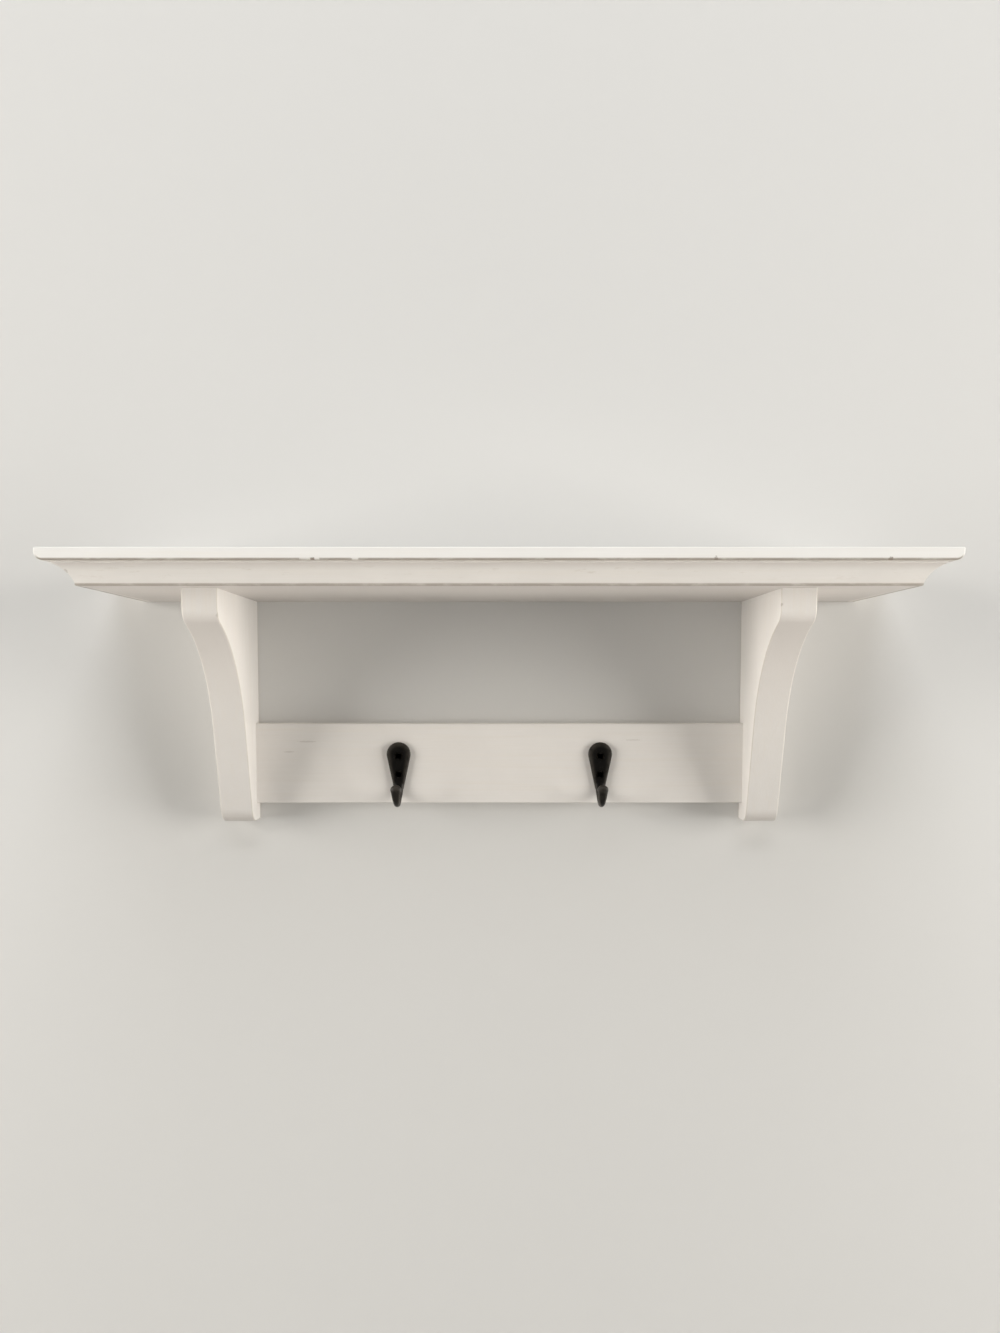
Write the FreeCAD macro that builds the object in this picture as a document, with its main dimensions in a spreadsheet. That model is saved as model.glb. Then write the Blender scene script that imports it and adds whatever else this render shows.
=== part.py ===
import FreeCAD, Part
import math
import os
import Sketcher
from types import SimpleNamespace

# Wall shelf with a moulded ledge, two sawn brackets and a rail that carries two cast hooks.
# Frame: +X to the right, +Y into the wall, +Z up. The wall is the plane y = 0 and the whole
# shelf lies in front of it. The origin is midway between the two keyholes that hang the
# shelf, at the centres of their round entries.

# Driving sizes, in millimetres, and angles, in degrees.
SIZES = {
    # Top board
    "shelf_width": 610.0,
    "shelf_depth": 165.0,
    "top_thickness": 8.4,
    "top_end_round": 5.5,
    "top_ease": 1.0,
    # Cove moulding and the board that it wraps
    "ledge_height": 15.1,
    "cove_setback": 8.0,
    "cove_run": 11.5,
    "cove_radius": 20.0,
    "cove_step": 1.0,
    "lip_height": 1.6,
    "lip_round": 0.8,
    "lip_thickness": 6.5,
    # Brackets
    "bracket_thickness": 25.0,
    "bracket_height": 175.0,
    "nose_depth": 127.0,
    "nose_height": 21.3,
    "nose_round": 11.5,
    "sweep_radius": 116.0,
    "leg_angle": 73.2,
    "foot_depth": 25.7,
    "toe_round": 14.0,
    "bracket_ease": 1.0,
    # Hook rail and its dowels
    "rail_length": 389.0,
    "rail_height": 63.5,
    "rail_thickness": 12.0,
    "rail_drop": 97.4,
    "rail_ease": 1.0,
    "dowel_radius": 3.0,
    "dowel_length": 28.0,
    "dowel_chamfer": 0.8,
    "dowel_inset": 15.0,
    # Screws that hold the brackets under the ledge
    "bracket_screw_head_radius": 4.1,
    "bracket_screw_shank_radius": 2.0,
    "bracket_screw_length": 32.0,
    "bracket_screw_rear": 30.0,
    "bracket_screw_front": 98.0,
    # Headless pins that hold the top board and the moulding while the glue sets
    "pin_radius": 0.6,
    "pin_length": 20.0,
    "top_pin_cover": 1.5,
    "top_pin_rear_inset": 22.0,
    "top_pin_front_inset": 16.0,
    "cove_pin_bite": 8.0,
    "cove_pin_end_inset": 40.0,
    # Keyhole plates in the backs of the brackets
    "hanger_drop": 40.0,
    "plate_width": 16.0,
    "plate_length": 44.0,
    "plate_thickness": 2.0,
    "plate_rise": 6.0,
    "entry_radius": 4.5,
    "slot_width": 5.0,
    "slot_rise": 10.0,
    "pocket_radius": 5.6,
    "pocket_depth": 15.0,
    "plate_screw_reach": 16.5,
    "plate_screw_head_radius": 2.9,
    "plate_screw_shank_radius": 1.4,
    "plate_screw_length": 14.0,
    # Cast hooks
    "hook_spacing": 161.0,
    "hook_drop": 24.4,
    "hook_head_radius": 9.5,
    "hook_tail_radius": 4.0,
    "hook_tail_drop": 26.3,
    "hook_plate_thickness": 3.0,
    "hook_plate_round": 1.1,
    "hook_screw_drop": 1.6,
    "hook_screw_spacing": 14.7,
    "hook_screw_head_radius": 3.5,
    "hook_screw_shank_radius": 1.5,
    "hook_screw_length": 12.0,
    "arm_radius": 12.5,
    "arm_thickness": 4.4,
    "arm_root_width": 7.4,
    "arm_waist_width": 4.8,
    "arm_tip_width": 8.6,
    "arm_tip_rise": 3.8,
    "arm_heel_rise": 5.0,
    "arm_heel_width": 5.4,
    "arm_heel_thickness": 1.6,
    "arm_heel_depth": 1.1,
    # Screw heads, fits and cuts
    "screw_rim": 0.2,
    "screw_point": 3.0,
    "countersink_angle": 45.0,
    "screw_clearance": 0.05,
    "screw_set": 0.1,
    "blind_clearance": 0.5,
    "pin_clearance": 0.05,
    "dowel_clearance": 0.05,
    "plate_clearance": 0.15,
    "overrun": 5.0,
}

# Places along the ledge, as shares of the reach that they follow.
TOP_PIN_SHARES = (-1, 0, 1)
FRONT_PIN_SHARES = (-1, -1 / 3, 1 / 3, 1)
RETURN_PIN_SHARES = (0.2, 0.8)
# Angles round the hook's arm, as shares of a quarter turn from its lowest point.
ARM_TURN_SHARES = (-1, -0.6, -0.25, 0.1, 0.45, 0.75, 1)

# Degrees in a quarter turn, the unit of tilts and of the arm's angles.
QUARTER_TURN = 90
SIDES = (("left", -1), ("right", 1))


class Formula:
    """A size that keeps its number beside the sheet formula that gives it."""

    def __init__(self, value, text):
        self.value = value
        self.text = text

    def joined(self, value, sign, other):
        return Formula(value, "(%s %s %s)" % (self.text, sign, formula(other).text))

    def __add__(self, other):
        return self.joined(self.value + formula(other).value, "+", other)

    def __sub__(self, other):
        return self.joined(self.value - formula(other).value, "-", other)

    def __mul__(self, other):
        return self.joined(self.value * formula(other).value, "*", other)

    def __truediv__(self, other):
        return self.joined(self.value / formula(other).value, "/", other)

    def __rmul__(self, other):
        return formula(other) * self

    def __neg__(self):
        return Formula(-self.value, "(-1 * %s)" % self.text)


def formula(thing):
    """Return a plain number as a formula, and a formula as it is."""
    if isinstance(thing, Formula):
        return thing
    return Formula(float(thing), "(%r)" % float(thing))


def root(square):
    return Formula(math.sqrt(square.value), "sqrt(%s)" % square.text)


def sine(angle):
    return Formula(math.sin(math.radians(angle.value)), "sin(%s * 1 deg)" % angle.text)


def cosine(angle):
    return Formula(math.cos(math.radians(angle.value)), "cos(%s * 1 deg)" % angle.text)


doc = FreeCAD.newDocument("WallShelf")


def fill_sheet():
    """Write the driving sizes to the sheet and return them as formulas."""
    sheet = doc.addObject("Spreadsheet::Sheet", "Sizes")
    sizes = SimpleNamespace()
    for row, (alias, number) in enumerate(SIZES.items(), start=1):
        sheet.set("A%d" % row, alias.replace("_", " "))
        sheet.set("B%d" % row, str(number))
        sheet.setAlias("B%d" % row, alias)
        setattr(sizes, alias, Formula(number, "Sizes." + alias))
    doc.recompute()
    return sizes


S = fill_sheet()

# Places that several sub-parts share.
HALF_WIDTH = S.shelf_width / 2
UNDERSIDE = S.hanger_drop
LIP_SETBACK = S.cove_setback + S.cove_run
LEDGE_SETBACK = LIP_SETBACK + S.lip_thickness
LEDGE_HALF = HALF_WIDTH - LEDGE_SETBACK
LEDGE_DEPTH = S.shelf_depth - LEDGE_SETBACK
RAIL_TOP = UNDERSIDE - S.rail_drop
BRACKET_CENTRE = S.rail_length / 2 + S.bracket_thickness / 2
HOOK_CENTRE = RAIL_TOP - S.hook_drop
PLATE_SCREW_RISES = (S.plate_rise - S.plate_screw_reach, S.plate_rise + S.plate_screw_reach)
ORIGIN = formula(0)


# Tools for bodies, sketches and features

def about_x(angle):
    return FreeCAD.Rotation(FreeCAD.Vector(1, 0, 0), angle)


def new_body(label, x=ORIGIN, y=ORIGIN, z=ORIGIN, tilt=0):
    """Start a body at a bound place, tilted about X by whole quarter turns."""
    body = doc.addObject("PartDesign::Body", label)
    body.Label = label
    body.Placement = FreeCAD.Placement(FreeCAD.Vector(), about_x(tilt * QUARTER_TURN))
    for axis, place in zip("xyz", (x, y, z)):
        body.setExpression("Placement.Base." + axis, place.text)
    return body


def new_sketch(body, name, role, offset=ORIGIN):
    """Attach a sketch to one of the body's origin planes, moved along the plane's normal."""
    sketch = body.newObject("Sketcher::SketchObject", name)
    plane = next(item for item in body.Origin.OriginFeatures if item.Role == role)
    sketch.AttachmentSupport = [(plane, "")]
    sketch.MapMode = "FlatFace"
    sketch.setExpression("AttachmentOffset.Base.z", offset.text)
    return sketch


def bind(sketch, kind, where, size):
    """Add a constraint whose datum follows a size."""
    index = sketch.addConstraint(Sketcher.Constraint(kind, *where, size.value))
    sketch.setExpression("Constraints[%d]" % index, size.text)


def pin_point(sketch, edge, point, x, y):
    bind(sketch, "DistanceX", (-1, 1, edge, point), x)
    bind(sketch, "DistanceY", (-1, 1, edge, point), y)


def corner(x, y):
    """A corner of an outline, from which a straight edge starts."""
    return SimpleNamespace(x=formula(x), y=formula(y), centre=None, turn=0)


def bend(x, y, centre, turn):
    """A corner from which an arc starts: turn is 1 anticlockwise and -1 clockwise."""
    centre = (formula(centre[0]), formula(centre[1]))
    return SimpleNamespace(x=formula(x), y=formula(y), centre=centre, turn=turn)


def add_edge(sketch, start, end):
    """Add the edge from start to end, and return which of its ends is which."""
    first = FreeCAD.Vector(start.x.value, start.y.value, 0)
    last = FreeCAD.Vector(end.x.value, end.y.value, 0)
    if start.centre is None:
        sketch.addGeometry(Part.LineSegment(first, last), False)
        return 1, 2
    centre = FreeCAD.Vector(start.centre[0].value, start.centre[1].value, 0)
    rays = (first - centre, last - centre)
    angles = [math.atan2(ray.y, ray.x) for ray in rays]
    if start.turn < 0:
        angles.reverse()
    circle = Part.Circle(centre, FreeCAD.Vector(0, 0, 1), (first - centre).Length)
    sketch.addGeometry(Part.ArcOfCircle(circle, angles[0], angles[1]), False)
    return (1, 2) if start.turn > 0 else (2, 1)


def draw_outline(sketch, corners):
    """Draw one closed outline: every corner is pinned, and each arc's centre along its bisector."""
    base = sketch.GeometryCount
    pairs = list(zip(corners, corners[1:] + corners[:1]))
    ends = [add_edge(sketch, start, end) for start, end in pairs]
    for index, (start, end) in enumerate(pairs):
        following = (index + 1) % len(pairs)
        join = (base + index, ends[index][1], base + following, ends[following][0])
        sketch.addConstraint(Sketcher.Constraint("Coincident", *join))
        pin_point(sketch, base + index, ends[index][0], start.x, start.y)
    for index, (start, end) in enumerate(pairs):
        if start.centre is None:
            continue
        level = abs(end.x.value - start.x.value) > abs(end.y.value - start.y.value)
        kind = "DistanceY" if level else "DistanceX"
        bind(sketch, kind, (-1, 1, base + index, 3), start.centre[1 if level else 0])


def draw_circle(sketch, x, y, radius):
    x, y = formula(x), formula(y)
    centre = FreeCAD.Vector(x.value, y.value, 0)
    edge = sketch.addGeometry(Part.Circle(centre, FreeCAD.Vector(0, 0, 1), radius.value), False)
    pin_point(sketch, edge, 3, x, y)
    bind(sketch, "Radius", (edge,), radius)


def draw_ellipse(sketch, width, height):
    """Draw an ellipse about the sketch's origin, wider than it is high."""
    across = FreeCAD.Vector(width.value / 2, 0, 0)
    upward = FreeCAD.Vector(0, height.value / 2, 0)
    edge = sketch.addGeometry(Part.Ellipse(across, upward, FreeCAD.Vector()), False)
    sketch.exposeInternalGeometry(edge)
    sketch.addConstraint(Sketcher.Constraint("Coincident", edge, 3, -1, 1))
    sketch.addConstraint(Sketcher.Constraint("Horizontal", edge + 1))
    bind(sketch, "Distance", (edge + 1,), width)
    bind(sketch, "Distance", (edge + 2,), height)


def box_corners(left, right, bottom, top):
    return [corner(left, bottom), corner(right, bottom), corner(right, top), corner(left, top)]


def capsule_corners(x, low, high, radius):
    """An upright slot outline between two end centres."""
    return [
        corner(x + radius, low),
        bend(x + radius, high, (x, high), 1),
        corner(x - radius, high),
        bend(x - radius, low, (x, low), 1),
    ]


def pad(sketch, name, length, backward=False, centred=False):
    body = sketch.getParentGeoFeatureGroup()
    feature = body.newObject("PartDesign::Pad", name)
    feature.Profile = sketch
    feature.setExpression("Length", length.text)
    feature.Reversed = backward
    if centred:
        feature.SideType = "Symmetric"
    doc.recompute()
    return feature


def pocket(sketch, name, depth, forward=False, taper=None):
    """Cut a pocket behind the sketch, or in front of it, and make sure that it cuts."""
    body = sketch.getParentGeoFeatureGroup()
    before = body.Shape.Volume
    feature = body.newObject("PartDesign::Pocket", name)
    feature.Profile = sketch
    feature.setExpression("Length", depth.text)
    feature.Reversed = forward
    if taper is not None:
        feature.setExpression("TaperAngle", (-taper).text)
    doc.recompute()
    if not body.Shape.Volume < before:
        raise RuntimeError("pocket %s of %s cuts nothing" % (name, body.Label))
    return feature


def edge_names(feature, wanted):
    edges = enumerate(feature.Shape.Edges, start=1)
    return ["Edge%d" % number for number, edge in edges if wanted(edge)]


def round_edges(body, name, radius, wanted):
    """Fillet the edges of the body's last feature that the test picks by their boxes."""
    base = body.Tip
    fillet = body.newObject("PartDesign::Fillet", name)
    fillet.Base = (base, edge_names(base, lambda edge: wanted(edge.BoundBox)))
    fillet.setExpression("Radius", radius.text)
    doc.recompute()
    return fillet


def near(value, size):
    """Whether a coordinate lies where a size puts it, within rounding error."""
    return math.isclose(value, size.value, abs_tol=1e-6 * S.shelf_width.value)


def flat_at(low, high, size):
    return near(low, size) and near(high, size)


def drill(body, name, role, spots, radius, depth, offset=ORIGIN, forward=False):
    """Drill round holes at the spots of one plane."""
    sketch = new_sketch(body, name + "_spots", role, offset)
    for x, y in spots:
        draw_circle(sketch, x, y, radius)
    return pocket(sketch, name, depth, forward)


def screw_sizes(kind):
    """The sizes of one kind of countersunk screw, and of the hole that takes it."""
    head = getattr(S, kind + "_head_radius")
    shank = getattr(S, kind + "_shank_radius")
    length = getattr(S, kind + "_length")
    hole = shank + S.screw_clearance
    sink = head + S.screw_rim + S.screw_clearance + S.screw_set
    return SimpleNamespace(head=head, shank=shank, length=length, hole=hole, sink=sink)


def countersink(body, name, role, spots, kind, depth, offset=ORIGIN, forward=False):
    """Drill countersunk clearance holes whose wide ends are on the sketch's plane."""
    screw = screw_sizes(kind)
    drill(body, name + "_holes", role, spots, screw.hole, depth, offset, forward)
    sketch = new_sketch(body, name + "_sinks", role, offset)
    for x, y in spots:
        draw_circle(sketch, x, y, screw.sink)
    pocket(sketch, name, screw.sink - screw.hole, forward, S.countersink_angle)


def countersunk_screw(label, kind, x, y, z, tilt=0):
    """A countersunk screw: its head is at its origin, and untilted it points down."""
    screw = screw_sizes(kind)
    body = new_body(label, x, y, z, tilt)
    sketch = new_sketch(body, "half_section", "XZ_Plane")
    rim = -S.screw_rim
    draw_outline(sketch, [
        corner(0, 0),
        corner(0, -screw.length),
        corner(screw.shank, S.screw_point - screw.length),
        corner(screw.shank, rim - (screw.head - screw.shank)),
        corner(screw.head, rim),
        corner(screw.head, 0),
    ])
    turned = body.newObject("PartDesign::Revolution", "turned")
    turned.Profile = sketch
    turned.ReferenceAxis = (sketch, ["V_Axis"])
    return body


# Places of pins and screws, shared by the pieces on both sides of each joint

def top_pin_spots():
    reach = LEDGE_HALF - S.top_pin_front_inset
    rows = (-S.top_pin_rear_inset, S.top_pin_front_inset - LEDGE_DEPTH)
    return [(reach * share, row) for row in rows for share in TOP_PIN_SHARES]


def front_pin_spots():
    reach = LEDGE_HALF - S.cove_pin_end_inset
    return [(reach * share, S.ledge_height / 2) for share in FRONT_PIN_SHARES]


def return_pin_spots():
    return [(-(LEDGE_DEPTH * share), S.ledge_height / 2) for share in RETURN_PIN_SHARES]


def bracket_screw_spots(centre):
    return [(centre, -S.bracket_screw_rear), (centre, -S.bracket_screw_front)]


def dowel_spots():
    """Dowels in the middle of the rail's thickness, measured from the rail's top."""
    centre = -(S.rail_thickness / 2)
    return [(centre, -S.dowel_inset), (centre, S.dowel_inset - S.rail_height)]


def hook_screw_drops():
    """The two screws of a hook, measured from the centre of its plate's head."""
    return [-S.hook_screw_drop, -(S.hook_screw_drop + S.hook_screw_spacing)]


# Ledge

def top_board():
    """The thin top: its ends are rounded underneath, its front and its upper edges are eased."""
    body = new_body("top_board", z=UNDERSIDE + S.ledge_height)
    sketch = new_sketch(body, "outline", "XY_Plane")
    draw_outline(sketch, box_corners(-HALF_WIDTH, HALF_WIDTH, -S.shelf_depth, ORIGIN))
    pad(sketch, "board", S.top_thickness)

    def end_edge(box, height):
        """An edge along either end of the board, at a height."""
        on_end = near(abs(box.XMin), HALF_WIDTH) and near(abs(box.XMax), HALF_WIDTH)
        along = near(box.YMax, ORIGIN) and flat_at(box.ZMin, box.ZMax, height)
        return on_end and along

    def lower_end(box):
        return near(box.XMin, formula(box.XMax)) and end_edge(box, ORIGIN)

    def front_or_upper_end(box):
        on_front = flat_at(box.YMin, box.YMax, -S.shelf_depth)
        upper_end = near(box.XMin, formula(box.XMax)) and end_edge(box, S.top_thickness)
        return on_front or upper_end

    round_edges(body, "end_round", S.top_end_round, lower_end)
    round_edges(body, "top_ease", S.top_ease, front_or_upper_end)
    hole = S.pin_radius + S.pin_clearance
    depth = S.top_thickness - S.top_pin_cover
    drill(body, "pin_holes", "XY_Plane", top_pin_spots(), hole, depth, forward=True)
    return body


def under_board():
    """The board under the top, wrapped by the moulding; the brackets are screwed up to it."""
    body = new_body("under_board", z=UNDERSIDE)
    sketch = new_sketch(body, "outline", "XY_Plane")
    draw_outline(sketch, box_corners(-LEDGE_HALF, LEDGE_HALF, -LEDGE_DEPTH, ORIGIN))
    pad(sketch, "board", S.ledge_height)
    hole = S.pin_radius + S.pin_clearance
    top_bite = S.pin_length - (S.top_thickness - S.top_pin_cover) + S.blind_clearance
    drill(body, "top_pin_holes", "XY_Plane", top_pin_spots(), hole, top_bite, S.ledge_height)
    cove_bite = S.pin_length - S.cove_pin_bite + S.blind_clearance
    drill(body, "front_pin_holes", "XZ_Plane", front_pin_spots(), hole, cove_bite, LEDGE_DEPTH)
    for side, sign in SIDES:
        spots = return_pin_spots()
        name = side + "_return_pin_holes"
        drill(body, name, "YZ_Plane", spots, hole, cove_bite, LEDGE_HALF * sign, sign < 0)
        name = side + "_bracket_screw_sinks"
        spots = bracket_screw_spots(BRACKET_CENTRE * sign)
        countersink(body, name, "XY_Plane", spots, "bracket_screw", S.ledge_height, S.ledge_height)
    return body


def cove_profile(sketch, inward):
    """The cove's section: inward is 1 or -1, the way from the top board's edge to the board."""
    front = S.cove_setback * inward
    lip = LIP_SETBACK * inward
    back = LEDGE_SETBACK * inward
    step = S.ledge_height - S.cove_step
    rise = step - S.lip_height
    length = root(S.cove_run * S.cove_run + rise * rise)
    slack = root(S.cove_radius * S.cove_radius / (length * length) - 0.25)
    centre = (
        (front + lip) / 2 - rise * slack * inward,
        (step + S.lip_height) / 2 - S.cove_run * slack,
    )
    bottom = (lip + S.lip_round * inward, S.lip_round)
    draw_outline(sketch, [
        corner(back, S.ledge_height),
        corner(front, S.ledge_height),
        bend(front, step, centre, -inward),
        corner(lip, S.lip_height),
        bend(lip, S.lip_round, bottom, inward),
        corner(lip + S.lip_round * inward, 0),
        corner(back, 0),
    ])


def front_cove_moulding():
    """The front run of the cove, mitred at both ends."""
    body = new_body("front_cove_moulding", y=-S.shelf_depth, z=UNDERSIDE)
    sketch = new_sketch(body, "section", "YZ_Plane")
    cove_profile(sketch, 1)
    reach = HALF_WIDTH - S.cove_setback
    pad(sketch, "run", reach * 2, centred=True)
    for side, sign in SIDES:
        waste = new_sketch(body, side + "_waste", "XY_Plane", S.ledge_height)
        draw_outline(waste, [
            corner(HALF_WIDTH * sign, 0),
            corner((HALF_WIDTH - LEDGE_SETBACK - S.overrun) * sign, LEDGE_SETBACK + S.overrun),
            corner(HALF_WIDTH * sign, LEDGE_SETBACK + S.overrun),
        ])
        pocket(waste, side + "_mitre", S.ledge_height)
    hole = S.pin_radius + S.pin_clearance
    drill(body, "pin_holes", "XZ_Plane", front_pin_spots(), hole, S.cove_pin_bite, -LEDGE_SETBACK, True)
    return body


def cove_return(side, sign):
    """A short run of the cove from the wall to the front mitre."""
    body = new_body(side + "_cove_return", x=HALF_WIDTH * sign, z=UNDERSIDE)
    sketch = new_sketch(body, "section", "XZ_Plane")
    cove_profile(sketch, -sign)
    pad(sketch, "run", S.shelf_depth - S.cove_setback)
    waste = new_sketch(body, "waste", "XY_Plane", S.ledge_height)
    inner = (LEDGE_SETBACK + S.overrun) * -sign
    draw_outline(waste, [
        corner(0, -S.shelf_depth),
        corner(inner, -S.shelf_depth),
        corner(inner, LEDGE_SETBACK + S.overrun - S.shelf_depth),
    ])
    pocket(waste, "mitre", S.ledge_height)
    hole = S.pin_radius + S.pin_clearance
    offset = LEDGE_SETBACK * -sign
    drill(body, "pin_holes", "YZ_Plane", return_pin_spots(), hole, S.cove_pin_bite, offset, sign > 0)
    return body


# Brackets and rail

def bracket_corners():
    """The bracket's side: a blunt nose, a concave sweep tangent to a straight leg, and a foot."""
    lean = (cosine(S.leg_angle), sine(S.leg_angle))
    foot = (-S.foot_depth, -S.bracket_height)
    nose = (-S.nose_depth, -S.nose_height)
    # Straight from the foot to the sweep's centre: out along the leg's normal, then up the leg.
    start = (foot[0] - lean[1] * S.sweep_radius, foot[1] - lean[0] * S.sweep_radius)
    gap = (nose[0] - start[0], nose[1] - start[1])
    along = lean[1] * gap[1] - lean[0] * gap[0]
    across = lean[0] * gap[1] + lean[1] * gap[0]
    climb = along - root(S.sweep_radius * S.sweep_radius - across * across)
    centre = (start[0] - lean[0] * climb, start[1] + lean[1] * climb)
    knee = (foot[0] - lean[0] * climb, foot[1] + lean[1] * climb)
    return [
        corner(0, 0),
        corner(-S.nose_depth, 0),
        bend(nose[0], nose[1], centre, -1),
        corner(knee[0], knee[1]),
        corner(foot[0], foot[1]),
        corner(0, -S.bracket_height),
    ]


def bracket(side, sign):
    """A sawn bracket whose local X starts at its inner face and z = 0 is its top."""
    body = new_body(side + "_bracket", x=S.rail_length / 2 * sign, z=UNDERSIDE)
    sketch = new_sketch(body, "side_outline", "YZ_Plane")
    draw_outline(sketch, bracket_corners())
    pad(sketch, "blank", S.bracket_thickness, backward=sign < 0)

    def nose(box):
        return flat_at(box.YMin, box.YMax, -S.nose_depth) and flat_at(box.ZMin, box.ZMax, -S.nose_height)

    def toe(box):
        return flat_at(box.YMin, box.YMax, -S.foot_depth) and flat_at(box.ZMin, box.ZMax, -S.bracket_height)

    def front_rim(box):
        """An edge of either side face, other than those on the wall and under the ledge."""
        on_side = near(box.XMin, formula(box.XMax))
        on_wall = flat_at(box.YMin, box.YMax, ORIGIN)
        on_top = flat_at(box.ZMin, box.ZMax, ORIGIN)
        return on_side and not on_wall and not on_top

    round_edges(body, "nose_round", S.nose_round, nose)
    round_edges(body, "toe_round", S.toe_round, toe)
    round_edges(body, "ease", S.bracket_ease, front_rim)
    bracket_sockets(body, sign)
    hanger_recess(body, sign)
    return body


def bracket_sockets(body, sign):
    """Dowel sockets in the inner face and screw pilots in the top."""
    spots = [(y, z - S.rail_drop) for y, z in dowel_spots()]
    socket = S.dowel_radius + S.dowel_clearance
    depth = S.dowel_length / 2 + S.blind_clearance
    drill(body, "dowel_sockets", "YZ_Plane", spots, socket, depth, forward=sign > 0)
    screw = screw_sizes("bracket_screw")
    spots = bracket_screw_spots(S.bracket_thickness / 2 * sign)
    depth = screw.length - S.ledge_height + S.blind_clearance
    drill(body, "screw_pilots", "XY_Plane", spots, screw.hole, depth)


def hanger_recess(body, sign):
    """A recess for the keyhole plate, room for a screw head behind it, and two pilots."""
    centre = S.bracket_thickness / 2 * sign
    end = S.plate_width / 2
    reach = S.plate_length / 2 - end
    middle = S.plate_rise - S.hanger_drop
    seat = new_sketch(body, "plate_outline", "XZ_Plane")
    edge = end + S.plate_clearance
    draw_outline(seat, capsule_corners(centre, middle - reach, middle + reach, edge))
    pocket(seat, "plate_recess", S.plate_thickness, forward=True)
    room = new_sketch(body, "screw_head_room_outline", "XZ_Plane")
    top = S.slot_rise - S.hanger_drop
    draw_outline(room, capsule_corners(centre, -S.hanger_drop, top, S.pocket_radius))
    pocket(room, "screw_head_room", S.pocket_depth, forward=True)
    screw = screw_sizes("plate_screw")
    spots = [(centre, rise - S.hanger_drop) for rise in PLATE_SCREW_RISES]
    depth = screw.length + S.blind_clearance
    drill(body, "plate_pilots", "XZ_Plane", spots, screw.hole, depth, forward=True)


def hook_rail():
    """The rail between the brackets, flat on the wall; local z = 0 is its top edge."""
    body = new_body("hook_rail", z=RAIL_TOP)
    half = S.rail_length / 2
    sketch = new_sketch(body, "outline", "XZ_Plane")
    draw_outline(sketch, box_corners(-half, half, -S.rail_height, ORIGIN))
    pad(sketch, "board", S.rail_thickness)

    def front_edge(box):
        level = near(box.ZMin, formula(box.ZMax))
        return level and flat_at(box.YMin, box.YMax, -S.rail_thickness)

    round_edges(body, "ease", S.rail_ease, front_edge)
    socket = S.dowel_radius + S.dowel_clearance
    depth = S.dowel_length / 2 + S.blind_clearance
    for side, sign in SIDES:
        name = side + "_dowel_sockets"
        drill(body, name, "YZ_Plane", dowel_spots(), socket, depth, half * sign, sign < 0)
        screw = screw_sizes("hook_screw")
        spots = [(S.hook_spacing / 2 * sign, drop - S.hook_drop) for drop in hook_screw_drops()]
        pilot = screw.length - S.hook_plate_thickness + S.blind_clearance
        drill(body, side + "_hook_pilots", "XZ_Plane", spots, screw.hole, pilot, S.rail_thickness)
    return body


def rail_dowel(label, sign, height):
    """A dowel, half of it in the rail's end and half in the bracket, with chamfered ends."""
    body = new_body(label, x=S.rail_length / 2 * sign, y=-(S.rail_thickness / 2), z=height)
    sketch = new_sketch(body, "end", "YZ_Plane")
    draw_circle(sketch, 0, 0, S.dowel_radius)
    rod = pad(sketch, "rod", S.dowel_length, centred=True)
    chamfer = body.newObject("PartDesign::Chamfer", "ends")
    chamfer.Base = (rod, edge_names(rod, lambda edge: edge.isClosed()))
    chamfer.setExpression("Size", S.dowel_chamfer.text)
    return body


# Hangers

def keyhole_plate(side, sign):
    """A keyhole plate set flush in the bracket's back: its round entry is at its origin."""
    body = new_body(side + "_keyhole_plate", x=BRACKET_CENTRE * sign)
    end = S.plate_width / 2
    reach = S.plate_length / 2 - end
    sketch = new_sketch(body, "outline", "XZ_Plane")
    draw_outline(sketch, capsule_corners(ORIGIN, S.plate_rise - reach, S.plate_rise + reach, end))
    pad(sketch, "plate", S.plate_thickness)
    drill(body, "entry", "XZ_Plane", [(0, 0)], S.entry_radius, S.plate_thickness, forward=True)
    slot = new_sketch(body, "slot_outline", "XZ_Plane")
    draw_outline(slot, capsule_corners(ORIGIN, ORIGIN, S.slot_rise, S.slot_width / 2))
    pocket(slot, "slot", S.plate_thickness, forward=True)
    spots = [(0, rise) for rise in PLATE_SCREW_RISES]
    countersink(body, "screw_sinks", "XZ_Plane", spots, "plate_screw", S.plate_thickness, forward=True)
    return body


# Hooks

def hook_plate(body):
    """The teardrop back plate: a round head, a small round tail and the tangents between them."""
    big, small, drop = S.hook_head_radius, S.hook_tail_radius, S.hook_tail_drop
    fall = (big - small) / drop
    spread = root(formula(1) - fall * fall)
    sketch = new_sketch(body, "teardrop", "XZ_Plane")
    draw_outline(sketch, [
        bend(big * spread, -(big * fall), (0, 0), 1),
        corner(-(big * spread), -(big * fall)),
        bend(-(small * spread), -(drop + small * fall), (0, -drop), 1),
        corner(small * spread, -(drop + small * fall)),
    ])
    pad(sketch, "back_plate", S.hook_plate_thickness)

    def front_rim(box):
        return flat_at(box.YMin, box.YMax, -S.hook_plate_thickness)

    round_edges(body, "plate_round", S.hook_plate_round, front_rim)


def arm_width(share):
    """The arm narrows to its waist at the bottom and widens to its root and its tip."""
    end = S.arm_tip_width if share > 0 else S.arm_root_width
    return S.arm_waist_width + (end - S.arm_waist_width) * (share * share)


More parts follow.
